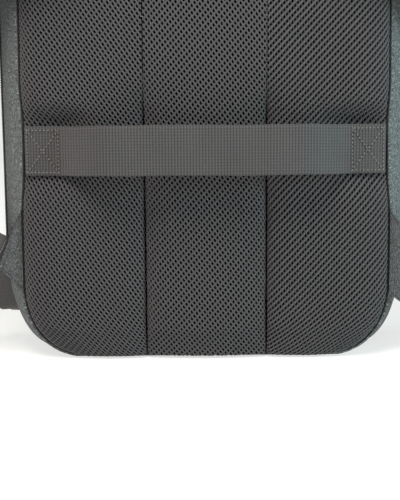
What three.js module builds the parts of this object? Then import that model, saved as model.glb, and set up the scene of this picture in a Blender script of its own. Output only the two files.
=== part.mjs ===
// A laptop backpack standing on its base: padded mesh back, zipped cloth body, a luggage strap across the back,
// and two shoulder straps swung out to the sides. Millimetres, +Z up, the wearer's side towards -Y.
// The origin is the middle of the flat base.
import * as THREE from 'three';

// Body: outside sizes of the cloth shell.
const bodyWidth = 320;
const bodyHeight = 447;
const baseDepth = 140;
const topDepth = 104;
const clothWall = 3;
const seamGap = 0.4;

// Back panel: padded mesh between the base and the yoke band.
const backWidth = 283.6;
const backTaper = 1.7;
const meshTop = 398;
const padRise = 11;
const channelDepth = 4;
const edgeRise = 1.5;
const padBacking = 0.4;
const channelSpacing = 94;
const padShoulder = 22;
const padTopFall = 46;
const padDroop = 8;
const yokeWall = 2;
const bindingRadius = 1.3;
const bindingGap = 0.92;

// Zips.
const zipStart = 35.5;
const zipWidth = 9.5;
const frontZipHeight = 268;
const frontZipWidth = 9;
const sideSeamHeight = 75;
const frontDome = 12;
const frontSliderShare = -0.62;

// Luggage strap: webbing over the back panel, open behind its middle.
const luggageWidth = 38;
const luggageWall = 1.8;
const luggageHeight = 165.2;
const luggageStandOff = 20;
const luggageLift = 3.6;
const luggageSlot = 156;
const luggageSewn = 29;

// Shoulder straps, their webbing and adjusters.
const padWidth = 62;
const padEndWidth = 34;
const padThickness = 11;
const padEdge = 3.2;
const seamShare = 0.14;
const webbingWidth = 25;
const webbingWall = 1.6;
const wingWall = 2.2;
const lockBar = 3;
const lockSlot = 5.4;
const lockThickness = 3;
const lockRim = 3.2;
const lockClearance = 1;

// Haul handle on the top.
const handleWidth = 22;
const handleWall = 2.2;
const handleRise = 35;
const handleSpan = 96;
const handleSewn = 26;
const handleBack = 12;
const handlePad = 7;

// Sliders and pulls.
const sliderLength = 12;
const sliderWidth = 8.5;
const sliderHeight = 4;
const sliderMeeting = 30;
const pullLength = 26;
const pullWidth = 6;
const pullHeight = 1.6;

const halfWidth = bodyWidth / 2;
const backY = -baseDepth / 2;

// The body's outline at shares of its depth, from the back seam to the front seam. wide and the corners' across
// are shares of half the body's width; up, low and top are shares of its height.
const bodySections = [
  { depth: 0.0, wide: 0.9012, lowAcross: 0.3, lowUp: 0.13, topAcross: 0.44, topUp: 0.157, low: 0.0027, top: 0.982 },
  { depth: 0.04, wide: 0.923, lowAcross: 0.295, lowUp: 0.145, topAcross: 0.45, topUp: 0.161, low: 0, top: 0.987 },
  { depth: 0.1, wide: 0.955, lowAcross: 0.29, lowUp: 0.17, topAcross: 0.47, topUp: 0.168, low: 0, top: 0.994 },
  { depth: 0.27, wide: 1.0, lowAcross: 0.245, lowUp: 0.195, topAcross: 0.5, topUp: 0.179, low: 0, top: 1.0 },
  { depth: 0.6, wide: 0.985, lowAcross: 0.22, lowUp: 0.175, topAcross: 0.5, topUp: 0.179, low: 0, top: 0.993 },
  { depth: 0.9, wide: 0.956, lowAcross: 0.235, lowUp: 0.15, topAcross: 0.49, topUp: 0.174, low: 0, top: 0.97 },
  { depth: 1.0, wide: 0.93, lowAcross: 0.25, lowUp: 0.14, topAcross: 0.47, topUp: 0.166, low: 0.009, top: 0.951 },
];
const cornerPower = 2.15;
const cornerWeight = 150;

const clamp01 = (value) => Math.min(1, Math.max(0, value));
const smooth = (from, to, value) => {
  const share = clamp01((value - from) / (to - from));
  return share * share * (3 - 2 * share);
};
const mix = THREE.MathUtils.lerp;
const bell = (value, spread) => Math.exp(-((value / spread) ** 4));

// Depth of the bag at a height: full at the base, slimmer towards the top.
const depthAt = (z) => mix(baseDepth, topDepth, smooth(0.28, 1, z / bodyHeight));

// The outline's sizes in millimetres at a share of the depth.
function sectionAt(share) {
  const next = bodySections.findIndex((row) => row.depth >= share - 1e-9);
  const b = bodySections[Math.max(next, 1)];
  const a = bodySections[Math.max(next, 1) - 1];
  const f = smooth(a.depth, b.depth, share);
  return {
    wide: mix(a.wide, b.wide, f) * halfWidth,
    lowAcross: mix(a.lowAcross, b.lowAcross, f) * halfWidth,
    lowUp: mix(a.lowUp, b.lowUp, f) * bodyHeight,
    topAcross: mix(a.topAcross, b.topAcross, f) * halfWidth,
    topUp: mix(a.topUp, b.topUp, f) * bodyHeight,
    low: mix(a.low, b.low, f) * bodyHeight,
    top: mix(a.top, b.top, f) * bodyHeight,
  };
}

// Half of an outline as a fine line from the middle of the base, round the right side, to the middle of the top.
function halfOutline(section, steps = 24) {
  const line = [{ x: 0, z: section.low }];
  const corner = (angle, across, up, top) => {
    const c = Math.cos(angle) ** (2 / cornerPower);
    const s = Math.sin(angle) ** (2 / cornerPower);
    line.push(
      top
        ? { x: section.wide - across * (1 - c), z: section.top - up * (1 - s) }
        : { x: section.wide - across * (1 - s), z: section.low + up * (1 - c) },
    );
  };
  for (let i = 0; i <= steps; i++) corner(((i / steps) * Math.PI) / 2, section.lowAcross, section.lowUp, false);
  for (let i = 0; i <= steps; i++) corner(((i / steps) * Math.PI) / 2, section.topAcross, section.topUp, true);
  line.push({ x: 0, z: section.top });
  return line;
}

// Half the outline's width at a height, for the panels that close the bag's back and front.
function halfWidthAt(section, z) {
  const below = clamp01((section.low + section.lowUp - z) / section.lowUp);
  const above = clamp01((z - (section.top - section.topUp)) / section.topUp);
  const inset = (s, across) => across * (1 - (1 - s ** cornerPower) ** (1 / cornerPower));
  return section.wide - inset(below, section.lowAcross) - inset(above, section.topAcross);
}

// How far along a line each of its points is. A turn counts as extra length, so that corners get more points.
function runOf(line) {
  const run = [0];
  let heading = 0;
  for (let i = 1; i < line.length; i++) {
    const across = line[i].x - line[i - 1].x;
    const up = line[i].z - line[i - 1].z;
    const length = Math.hypot(across, up);
    const next = length > 1e-9 ? Math.atan2(up, across) : heading;
    run.push(run[i - 1] + length + cornerWeight * Math.abs(next - heading));
    heading = next;
  }
  return run;
}

// Points evenly spaced by that measure between two places on a line.
function spaced(line, from, to, steps) {
  const run = runOf(line);
  const points = [];
  for (let k = 0; k <= steps; k++) {
    const at = mix(from, to, k / steps);
    const past = run.findIndex((r) => r >= at - 1e-9);
    const i = past < 0 ? line.length - 1 : Math.max(past, 1);
    const f = clamp01((at - run[i - 1]) / (run[i] - run[i - 1]));
    points.push({ x: mix(line[i - 1].x, line[i].x, f), z: mix(line[i - 1].z, line[i].z, f) });
  }
  return points;
}

const lengthOf = (line) => runOf(line).at(-1);

// Where the side of the half outline reaches a height.
function runTo(line, z) {
  const run = runOf(line);
  const i = line.findIndex((p, k) => k > 1 && p.z >= z);
  return mix(run[i - 1], run[i], (z - line[i - 1].z) / (line[i].z - line[i - 1].z));
}

// The back seam leans in a little towards the top, and the luggage strap draws it in at its own height.
function waistPull(z, share) {
  const pull = backTaper * smooth(0.2, 0.65, z / bodyHeight) + 2 * bell(z - luggageHeight, luggageWidth);
  return pull * (1 - smooth(0, 0.2, share));
}

function bodyPoint(point, share) {
  const pull = waistPull(point.z, share) * Math.sign(point.x);
  return new THREE.Vector3(point.x - pull, backY + share * depthAt(point.z), point.z);
}

// A ring of the body's outline at one share of the depth: the arch over the top, or the trough under the base.
function archRow(share, steps) {
  const line = halfOutline(sectionAt(share));
  const half = spaced(line, runTo(line, sideSeamHeight + seamGap), lengthOf(line), steps);
  return [...half.map((p) => bodyPoint(p, share)), ...half.slice(0, -1).reverse().map((p) => bodyPoint({ x: -p.x, z: p.z }, share))];
}

function troughRow(share, steps) {
  const line = halfOutline(sectionAt(share));
  const half = spaced(line, 0, runTo(line, sideSeamHeight - seamGap / 2), steps);
  return [...half.slice(1).reverse().map((p) => bodyPoint({ x: -p.x, z: p.z }, share)), ...half.map((p) => bodyPoint(p, share))];
}

// Geometry from a list of triangles; turned so that its faces point out.
function solid(triangles) {
  let volume = 0;
  for (const [a, b, c] of triangles) volume += a.dot(new THREE.Vector3().crossVectors(b, c));
  const corners = [];
  for (const [a, b, c] of triangles) {
    for (const p of volume < 0 ? [a, c, b] : [a, b, c]) corners.push(p.x, p.y, p.z);
  }
  const geometry = new THREE.BufferGeometry();
  geometry.setAttribute('position', new THREE.Float32BufferAttribute(corners, 3));
  geometry.computeVertexNormals();
  return geometry;
}

const quad = (a, b, c, d) => [[a, b, c], [a, c, d]];

// A closed solid between two grids of points of the same size.
function between(front, back) {
  const triangles = [];
  const rows = front.length;
  const columns = front[0].length;
  for (let i = 0; i < rows - 1; i++) {
    for (let j = 0; j < columns - 1; j++) {
      triangles.push(...quad(front[i][j], front[i + 1][j], front[i + 1][j + 1], front[i][j + 1]));
      triangles.push(...quad(back[i][j], back[i][j + 1], back[i + 1][j + 1], back[i + 1][j]));
    }
  }
  for (let i = 0; i < rows - 1; i++) {
    triangles.push(...quad(front[i][0], back[i][0], back[i + 1][0], front[i + 1][0]));
    triangles.push(...quad(front[i][columns - 1], front[i + 1][columns - 1], back[i + 1][columns - 1], back[i][columns - 1]));
  }
  for (let j = 0; j < columns - 1; j++) {
    triangles.push(...quad(front[0][j], front[0][j + 1], back[0][j + 1], back[0][j]));
    triangles.push(...quad(front[rows - 1][j], back[rows - 1][j], back[rows - 1][j + 1], front[rows - 1][j + 1]));
  }
  return solid(triangles);
}

// A solid swept through rings of points, closed at both ends.
function swept(rings, closed = false) {
  const triangles = [];
  const count = rings[0].length;
  const last = closed ? rings.length : rings.length - 1;
  for (let i = 0; i < last; i++) {
    const a = rings[i];
    const b = rings[(i + 1) % rings.length];
    for (let k = 0; k < count; k++) triangles.push(...quad(a[k], b[k], b[(k + 1) % count], a[(k + 1) % count]));
  }
  if (!closed) {
    for (let k = 1; k < count - 1; k++) {
      triangles.push([rings[0][0], rings[0][k], rings[0][k + 1]]);
      triangles.push([rings.at(-1)[0], rings.at(-1)[k + 1], rings.at(-1)[k]]);
    }
  }
  return solid(triangles);
}

// A strap's centre line and the way that its outer face looks, smoothed through a table's rows. Where it starts
// in a seam, its first stretch turns from the seam's direction to its own.
function strapFrames(rows, steps, seam) {
  const centre = new THREE.CatmullRomCurve3(rows.map((r) => r.at), false, 'centripetal');
  const face = new THREE.CatmullRomCurve3(rows.map((r) => r.face.clone().normalize()), false, 'centripetal');
  return Array.from({ length: steps + 1 }, (_, i) => {
    const at = centre.getPoint(i / steps);
    const along = centre.getTangent(i / steps);
    const look = face.getPoint(i / steps);
    look.addScaledVector(along, -look.dot(along)).normalize();
    const across = new THREE.Vector3().crossVectors(along, look);
    if (seam) across.lerp(seam, 1 - smooth(0, seamShare, i / steps)).normalize();
    return { at, along, look, across, share: i / steps };
  });
}

const flatSection = (width, wall) => [
  [-width / 2, -wall / 2],
  [width / 2, -wall / 2],
  [width / 2, wall / 2],
  [-width / 2, wall / 2],
];

const ring = (frame, section) =>
  section.map(([a, n]) => frame.at.clone().addScaledVector(frame.across, a).addScaledVector(frame.look, n));

const strapSolid = (frames, sectionOf) => swept(frames.map((frame) => ring(frame, sectionOf(frame.share))));

const fabric = (colour, roughness = 0.9) => new THREE.MeshStandardMaterial({ color: colour, roughness, metalness: 0 });
const looks = {
  heather: fabric(0x6c7070),
  mesh: fabric(0x4a4849),
  webbing: fabric(0x5b5857, 0.85),
  binding: fabric(0x1d1d1e),
  zip: fabric(0x232425, 0.7),
  plastic: fabric(0x1b1b1c, 0.45),
  metal: new THREE.MeshStandardMaterial({ color: 0x3a3b3d, roughness: 0.35, metalness: 0.9 }),
};

const backpack = new THREE.Group();
function add(name, geometry, material) {
  const mesh = new THREE.Mesh(geometry, material);
  mesh.name = name;
  backpack.add(mesh);
  return mesh;
}

// Stations across and up a panel, closer together where it curves.
const padStations = [-1, -0.94, -0.8, -0.45, 0, 0.45, 0.8, 0.94, 1];
const halfChannel = channelSpacing / 2;

// The back panel's own outline: the body's back seam, less the binding.
function backSection() {
  const section = sectionAt(0);
  const inset = section.wide - backWidth / 2;
  return {
    wide: section.wide - inset,
    lowAcross: section.lowAcross - inset,
    lowUp: section.lowUp - inset,
    topAcross: section.topAcross - inset,
    topUp: section.topUp - inset,
    low: section.low + inset,
    top: section.top - inset,
  };
}

// How far the pad stands behind the back seam. s runs from -1 to 1 across one pad.
function padRiseAt(x, z, s, outer) {
  const round = (1 - Math.abs(s) ** 5) ** 0.5;
  const outerEdge = outer ? (Math.sign(x) * s + 1) / 2 : 0;
  const floor = mix(edgeRise + channelDepth, edgeRise, outerEdge);
  const below = clamp01((z - backSection().low) / padShoulder);
  const above = clamp01((meshTop - z) / padTopFall);
  const ends = Math.sqrt(below) * above * (2 - above);
  const strapDent = 1 - 0.8 * bell(z - luggageHeight, luggageWidth * 0.72) * smooth(0.28, 0.4, Math.abs(x) / backWidth);
  return edgeRise + (floor - edgeRise) * ends + padRise * round * ends * strapDent;
}

// The pads sag over the panel's lower edge, less towards its corners.
function padDroopAt(x, z) {
  const corner = smooth(0.5, 1, Math.abs(x) / (backWidth / 2));
  return padDroop * (1 - corner) * (1 - smooth(0, padShoulder, z - backSection().low));
}

const panelReach = (z) => halfWidthAt(backSection(), z) - waistPull(z, 0);

// The same by place alone, for what lies on the outer pads.
function outerPadRise(x, z) {
  const outer = (panelReach(z) - halfChannel) / 2;
  const s = Math.max(-1, Math.min(1, (Math.abs(x) - halfChannel - outer) / outer));
  return padRiseAt(Math.abs(x), z, s, true);
}

function padColumns(z) {
  const outer = (panelReach(z) - halfChannel) / 2;
  const pads = [
    { middle: -halfChannel - outer, half: outer, outer: true },
    { middle: 0, half: halfChannel, outer: false },
    { middle: halfChannel + outer, half: outer, outer: true },
  ];
  return pads.flatMap((pad, k) =>
    padStations.slice(k ? 1 : 0).map((s) => ({ x: pad.middle + s * pad.half, s, outer: pad.outer })),
  );
}

function backPanel() {
  const low = backSection().low;
  const heights = [0, 0.012, 0.035, 0.07, 0.12, 0.2, 0.28, 0.335, 0.37, 0.405, 0.44, 0.475, 0.53, 0.62, 0.74, 0.86, 0.93, 0.97, 1];
  const front = heights.map((share) => {
    const z = mix(low, meshTop, share);
    return padColumns(z).map(({ x, s, outer }) => new THREE.Vector3(x, backY - padRiseAt(x, z, s, outer), z));
  });
  const back = front.map((row) => row.map((p) => new THREE.Vector3(p.x, backY + padBacking, p.z)));
  for (const p of front.flat()) p.z -= padDroopAt(p.x, p.z) * smooth(0, padRise / 2, backY - edgeRise - p.y);
  return between(front, back);
}

// The plain band between the mesh and the top seam. Its lower edge laps over the straps' upper ends.
function yokeBand() {
  const section = backSection();
  const rows = 5;
  const columns = 12;
  const front = [];
  for (let i = 0; i <= rows; i++) {
    const z = mix(meshTop + seamGap, section.top, i / rows);
    const reach = panelReach(z);
    front.push(
      Array.from({ length: columns + 1 }, (_, j) => {
        const share = mix(-1, 1, j / columns);
        const bulge = 2.5 * (1 - share ** 4) * Math.sin((Math.PI * i) / rows) ** 0.5;
        return new THREE.Vector3(share * reach, backY - edgeRise - 0.5 - bulge, z);
      }),
    );
  }
  return between(front, front.map((row) => row.map((p) => new THREE.Vector3(p.x, p.y + yokeWall, p.z))));
}

// A round cord of dark binding along the seam between the back panel and the body.
function backBinding() {
  const line = halfOutline(backSection());
  const half = spaced(line, 0, lengthOf(line), 28);
  const loop = [...half, ...half.slice(1, -1).reverse().map((p) => ({ x: -p.x, z: p.z }))];
  const around = 6;
  const rings = loop.map((p, i) => {
    const before = loop[(i + loop.length - 1) % loop.length];
    const after = loop[(i + 1) % loop.length];
    const along = new THREE.Vector3(after.x - before.x, 0, after.z - before.z).normalize();
    const out = new THREE.Vector3(along.z, 0, -along.x);
    const pull = waistPull(p.z, 0) * Math.sign(p.x);
    const centre = new THREE.Vector3(p.x - pull, backY - bindingRadius / 2, p.z);
    centre.addScaledVector(out, bindingRadius + bindingGap);
    return Array.from({ length: around }, (_, k) => {
      const angle = (k / around) * 2 * Math.PI;
      const spoke = new THREE.Vector3(0, bindingRadius * Math.sin(angle), 0);
      return centre.clone().add(spoke).addScaledVector(out, bindingRadius * Math.cos(angle));
    });
  });
  return swept(rings, true);
}

// Walls of the body between shares of its depth.
const shareOf = (distance) => distance / baseDepth;
const rearStart = shareOf(1.1);
const zipFrom = shareOf(zipStart);
const zipTo = shareOf(zipStart + zipWidth);
const frontEnd = 1 - shareOf(0.5);
const gapShare = shareOf(seamGap);
const baseEase = 1.6;

// The same row moved in by the cloth's wall, within its own outline.
function innerRow(row) {
  return row.map((p, i) => {
    const along = new THREE.Vector3().subVectors(row[Math.min(i + 1, row.length - 1)], row[Math.max(i - 1, 0)]);
    const inward = new THREE.Vector3(along.z, 0, -along.x).normalize();
    const middle = new THREE.Vector3(-p.x, 0, bodyHeight / 2 - p.z);
    return p.clone().addScaledVector(inward, inward.dot(middle) > 0 ? clothWall : -clothWall);
  });
}

function wallBetween(from, to, columns, rowOf, steps, ease = 1) {
  const rows = Array.from({ length: columns + 1 }, (_, k) => rowOf(mix(from, to, (k / columns) ** ease), steps));
  return between(rows, rows.map(innerRow));
}

// The front: a shallow dome on the front seam's outline. share runs from -1 to 1 across it.
function frontPoint(share, z) {
  const section = sectionAt(1);
  const middle = (section.low + section.top) / 2;
  const lift = 1 - Math.abs((z - middle) / (section.top - middle)) ** 3.5;
  const rise = frontDome * Math.max(0, lift) ** 0.6 * Math.sqrt(1 - share ** 4);
  const reach = halfWidthAt(section, z) - 0.2;
  return new THREE.Vector3(share * reach, backY + depthAt(z) + clothWall + seamGap + rise, z);
}

// It is in two parts with a zip between them. Rows lie closer together towards the rounded end, where ease is
// above or below 1.
function frontPanel(fromZ, toZ, rows, ease, columns = 12) {
  const grid = Array.from({ length: rows + 1 }, (_, i) => {
    const z = ease > 1 ? mix(fromZ, toZ, (i / rows) ** ease) : mix(toZ, fromZ, (1 - i / rows) ** (1 / ease));
    const across = Array.from({ length: columns + 1 }, (_, j) => Math.sin((mix(-1, 1, j / columns) * Math.PI) / 2));
    return across.map((share) => frontPoint(share, z));
  });
  return between(grid, grid.map((row) => row.map((p) => new THREE.Vector3(p.x, p.y - clothWall, p.z))));
}

// How much of its bow the luggage strap has at a place across: none where it is sewn down, all behind its slot.
const luggageBow = (x) => 1 - smooth(luggageSlot / 2 - 8, backWidth / 2 - luggageSewn + 1, Math.abs(x));

// The luggage strap's distance behind the back seam: sewn down on the outer pads, bowed out between them.
function luggageDepth(x) {
  const nearby = [-4, 0, 4].flatMap((dx) => [-0.6, -0.3, 0, 0.3, 0.6].map((share) => [x + dx, share * luggageWidth]));
  const sewn = Math.max(...nearby.map(([at, up]) => outerPadRise(at, luggageHeight + up))) - seamGap;
  const bow = luggageBow(x);
  const crown = 2 * Math.max(0, 1 - (x / (luggageSlot / 2)) ** 2);
  return mix(sewn, padRise + channelDepth + edgeRise + luggageStandOff + crown, bow);
}

function luggageStrap() {
  const reach = backWidth / 2 - 3.2;
  const steps = 38;
  const rings = [];
  for (let i = 0; i <= steps; i++) {
    const x = mix(-reach, reach, i / steps);
    const normal = new THREE.Vector3(luggageDepth(x - 0.5) - luggageDepth(x + 0.5), -1, 0).normalize();
    const at = new THREE.Vector3(x, backY - luggageDepth(x) - luggageWall / 2, luggageHeight + luggageLift * luggageBow(x));
    const corner = (n, up) => at.clone().addScaledVector(normal, n).add(new THREE.Vector3(0, 0, up));
    rings.push([
      corner(-luggageWall / 2, -luggageWidth / 2),
      corner(luggageWall / 2, -luggageWidth / 2),
      corner(luggageWall / 2, luggageWidth / 2),
      corner(-luggageWall / 2, luggageWidth / 2),
    ]);
  }
  return swept(rings);
}

// Places beside the bag: out is a share of half its width, deep of its base depth, up of its height.
const place = (side, out, deep, up) => new THREE.Vector3(side * out * halfWidth, backY + deep * baseDepth, up * bodyHeight);
const towards = (side, x, y, z) => new THREE.Vector3(side * x, y, z).normalize();

// A strap's outward look from a table row. What its sideways and upward shares leave goes to the back or the front.
function faceOf(side, row, depthSign) {
  const rest = Math.sqrt(Math.max(0, 1 - row.faceOut ** 2 - row.faceUp ** 2));
  return towards(side.sign, row.faceOut, depthSign * rest, row.faceUp);
}

// Each wing's lower and upper edge from the side seam to its tip, and the strap that its webbing reaches.
// The left wing points up and out; the right one sags.
const sides = {
  left: {
    sign: -1,
    wing: [
      { deep: -0.012, lowOut: 0.911, low: 0.1165, topOut: 0.911, top: 0.266 },
      { deep: -0.024, lowOut: 0.945, low: 0.138, topOut: 0.928, top: 0.2476 },
      { deep: -0.022, lowOut: 0.99, low: 0.1537, topOut: 0.946, top: 0.232 },
    ],
    tip: { out: 1.003, deep: -0.008, up: 0.193, pitch: 27 },
    slack: [],
    lock: { out: 1.187, deep: 0.05, up: 0.232, aimIn: 0.81, aimBack: -0.2, aimUp: -0.55 },
    strap: [
      { out: 0.36, deep: -0.045, up: 0.886, faceOut: 0.0, faceUp: 0.3 },
      { out: 0.42, deep: -0.125, up: 0.858, faceOut: 0.0, faceUp: 0.25 },
      { out: 0.53, deep: -0.195, up: 0.825, faceOut: 0.0, faceUp: 0.15 },
      { out: 0.69, deep: -0.225, up: 0.79, faceOut: 0.05, faceUp: 0.1 },
      { out: 0.88, deep: -0.2, up: 0.75, faceOut: 0.25, faceUp: 0.1 },
      { out: 1.06, deep: -0.1, up: 0.705, faceOut: 0.6, faceUp: 0.1 },
      { out: 1.2, deep: 0.07, up: 0.648, faceOut: 0.88, faceUp: 0.1 },
      { out: 1.32, deep: 0.24, up: 0.565, faceOut: 0.98, faceUp: 0.05 },
      { out: 1.42, deep: 0.33, up: 0.465, faceOut: 0.98, faceUp: 0 },
      { out: 1.455, deep: 0.29, up: 0.372, faceOut: 0.93, faceUp: -0.05 },
      { out: 1.42, deep: 0.19, up: 0.3, faceOut: 0.75, faceUp: -0.15 },
    ],
    tail: [
      { out: 1.112, deep: 0.129, up: 0.188, faceIn: 0.1, faceUp: 0.25 },
      { out: 1.128, deep: 0.214, up: 0.157, faceIn: 0.1, faceUp: 0.4 },
      { out: 1.112, deep: 0.279, up: 0.13, faceIn: 0.1, faceUp: 0.3 },
      { out: 1.08, deep: 0.314, up: 0.114, faceIn: 0.2, faceUp: 0.1 },
      { out: 1.048, deep: 0.364, up: 0.105, faceIn: 0.6, faceUp: 0 },
      { out: 1.035, deep: 0.45, up: 0.1, faceIn: 0.95, faceUp: 0 },
    ],
  },
  right: {
    sign: 1,
    wing: [
      { deep: -0.012, lowOut: 0.911, low: 0.112, topOut: 0.911, top: 0.262 },
      { deep: -0.028, lowOut: 0.958, low: 0.0965, topOut: 0.95, top: 0.238 },
      { deep: -0.03, lowOut: 1.02, low: 0.0865, topOut: 1.03, top: 0.206 },
    ],
    tip: { out: 1.125, deep: -0.012, up: 0.117, pitch: -27 },
    slack: [
      { out: 1.225, deep: 0.0, up: 0.091, faceOut: 0, faceUp: 0.35 },
      { out: 1.3, deep: 0.03, up: 0.084, faceOut: 0, faceUp: 0.6 },
      { out: 1.37, deep: 0.06, up: 0.1, faceOut: -0.3, faceUp: 0.45 },
    ],
    lock: { out: 1.45, deep: 0.085, up: 0.166, aimIn: 0.42, aimBack: -0.1, aimUp: -0.9 },
    strap: [
      { out: 0.36, deep: -0.045, up: 0.886, faceOut: 0.0, faceUp: 0.3 },
      { out: 0.42, deep: -0.125, up: 0.858, faceOut: 0.0, faceUp: 0.25 },
      { out: 0.53, deep: -0.195, up: 0.824, faceOut: 0.0, faceUp: 0.15 },
      { out: 0.69, deep: -0.225, up: 0.787, faceOut: 0.05, faceUp: 0.1 },
      { out: 0.88, deep: -0.2, up: 0.745, faceOut: 0.25, faceUp: 0.1 },
      { out: 1.06, deep: -0.1, up: 0.697, faceOut: 0.6, faceUp: 0.1 },
      { out: 1.19, deep: 0.06, up: 0.635, faceOut: 0.88, faceUp: 0.1 },
      { out: 1.29, deep: 0.21, up: 0.55, faceOut: 0.98, faceUp: 0.05 },
      { out: 1.38, deep: 0.29, up: 0.45, faceOut: 0.98, faceUp: 0 },
      { out: 1.47, deep: 0.26, up: 0.35, faceOut: 0.92, faceUp: 0 },
      { out: 1.515, deep: 0.18, up: 0.265, faceOut: 0.7, faceUp: 0 },
    ],
    tail: [
      { out: 1.405, deep: 0.16, up: 0.1, faceIn: 0, faceUp: 0.3 },
      { out: 1.385, deep: 0.2, up: 0.055, faceIn: 0, faceUp: 0.35 },
      { out: 1.355, deep: 0.27, up: 0.02, faceIn: 0, faceUp: 0.75 },
      { out: 1.3, deep: 0.38, up: 0.006, faceIn: 0, faceUp: 0.98 },
      { out: 1.23, deep: 0.5, up: 0.004, faceIn: 0, faceUp: 1 },
    ],
  },
};

// The wing's tip is the webbing's start: a line as long as the webbing is wide, square to the webbing.
function tipFrame(side) {
  const pitch = THREE.MathUtils.degToRad(side.tip.pitch);
  const along = towards(side.sign, Math.cos(pitch), 0.03, Math.sin(pitch));
  const look = new THREE.Vector3(0, -1, 0);
  look.addScaledVector(along, -look.dot(along)).normalize();
  const up = new THREE.Vector3(-Math.sin(pitch) * side.sign, 0, Math.cos(pitch));
  return { at: place(side.sign, side.tip.out, side.tip.deep, side.tip.up), along, look, up };
}

function strapWing(side) {
  const tip = tipFrame(side);
  const rows = side.wing.map((row) => ({
    bottom: place(side.sign, row.lowOut, row.deep, row.low),
    top: place(side.sign, row.topOut, row.deep, row.top),
  }));
  rows.push({
    bottom: tip.at.clone().addScaledVector(tip.up, -webbingWidth / 2 - 1),
    top: tip.at.clone().addScaledVector(tip.up, webbingWidth / 2 + 1),
  });
  const lower = new THREE.CatmullRomCurve3(rows.map((r) => r.bottom), false, 'centripetal');
  const upper = new THREE.CatmullRomCurve3(rows.map((r) => r.top), false, 'centripetal');
  const steps = 7;
  const across = 6;
  const front = Array.from({ length: steps + 1 }, (_, i) => {
    const a = lower.getPoint(i / steps);
    const b = upper.getPoint(i / steps);
    return Array.from({ length: across + 1 }, (_, j) => {
      const p = a.clone().lerp(b, j / across);
      p.y -= 1.5 * Math.sin((Math.PI * j) / across) * Math.sin((Math.PI * i) / steps);
      return p;
    });
  });
  const back = front.map((row) => row.map((p) => new THREE.Vector3(p.x, p.y + wingWall, p.z)));
  return between(front, back);
}

// The ladder lock's frame of reference: along points from the strap's end to the wing.
function lockFrame(side) {
  const at = place(side.sign, side.lock.out, side.lock.deep, side.lock.up);
  const along = towards(side.sign, -side.lock.aimIn, side.lock.aimBack, side.lock.aimUp);
  const look = new THREE.Vector3(0, -1, 0);
  look.addScaledVector(along, -look.dot(along)).normalize();
  return { at, along, look, across: new THREE.Vector3().crossVectors(along, look) };
}

// Three bars and two slots in one flat frame.
function ladderLock(side) {
  const frame = lockFrame(side);
  const halfAcross = webbingWidth / 2 + lockClearance + lockRim;
  const halfAlong = (3 * lockBar + 2 * lockSlot) / 2;
  const shape = new THREE.Shape();
  const corner = 2;
  shape.moveTo(-halfAcross + corner, -halfAlong);
  shape.lineTo(halfAcross - corner, -halfAlong);
  shape.lineTo(halfAcross, -halfAlong + corner);
  shape.lineTo(halfAcross, halfAlong - corner);
  shape.lineTo(halfAcross - corner, halfAlong);
  shape.lineTo(-halfAcross + corner, halfAlong);
  shape.lineTo(-halfAcross, halfAlong - corner);
  shape.lineTo(-halfAcross, -halfAlong + corner);
  for (const middle of [-(lockBar + lockSlot) / 2, (lockBar + lockSlot) / 2]) {
    const slot = new THREE.Path();
    const reach = webbingWidth / 2 + lockClearance;
    slot.moveTo(-reach, middle - lockSlot / 2);
    slot.lineTo(-reach, middle + lockSlot / 2);
    slot.lineTo(reach, middle + lockSlot / 2);
    slot.lineTo(reach, middle - lockSlot / 2);
    shape.holes.push(slot);
  }
  const geometry = new THREE.ExtrudeGeometry(shape, { depth: lockThickness, bevelEnabled: false });
  geometry.translate(0, 0, -lockThickness / 2);
  const turn = new THREE.Matrix4().makeBasis(frame.across, frame.along, frame.look);
  turn.setPosition(frame.at);
  geometry.applyMatrix4(turn.determinant() < 0 ? turn.scale(new THREE.Vector3(-1, 1, 1)) : turn);
  return geometry;
}

// Webbing from the wing's tip over the lock's outer face, down through its rear slot, and back under it as a tail.
function strapWebbing(side) {
  const tip = tipFrame(side);
  const lock = lockFrame(side);
  const clear = lockThickness / 2 + webbingWall / 2 + 0.35;
  const at = (along, look) => lock.at.clone().addScaledVector(lock.along, along).addScaledVector(lock.look, look);
  const frontBar = lockBar + lockSlot;
  const slotMiddle = -(lockBar + lockSlot) / 2;
  const turnBack = [
    { at: at(frontBar + 4, clear + 0.9), face: lock.look },
    { at: at(0, clear), face: lock.look },
    { at: at(slotMiddle + 1.2, clear * 0.93), face: lock.look.clone().addScaledVector(lock.along, -0.35) },
    { at: at(slotMiddle - 0.2, 0), face: lock.along.clone().negate() },
    { at: at(slotMiddle + 1.2, -clear * 0.93), face: lock.look.clone().negate().addScaledVector(lock.along, -0.35) },
    { at: at(0, -clear - 0.3), face: lock.look.clone().negate() },
    { at: at(frontBar + 4, -clear - 1.8), face: lock.look.clone().negate() },
  ];
  const start = tip.at.clone().addScaledVector(tip.along, seamGap);
  start.y += wingWall / 2;
  const second = start.clone().addScaledVector(tip.along, 7);
  const rows = [{ at: start, face: tip.look }, { at: second, face: tip.look }];
  for (const row of side.slack) rows.push({ at: place(side.sign, row.out, row.deep, row.up), face: faceOf(side, row, -1) });
  rows.push(...turnBack);
  for (const row of side.tail) {
    const face = faceOf(side, { faceOut: -row.faceIn, faceUp: row.faceUp }, 1);
    rows.push({ at: place(side.sign, row.out, row.deep, row.up), face });
  }
  const frames = strapFrames(rows, 3 * (rows.length - 1));
  return strapSolid(frames, () => flatSection(webbingWidth, webbingWall));
}

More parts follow.
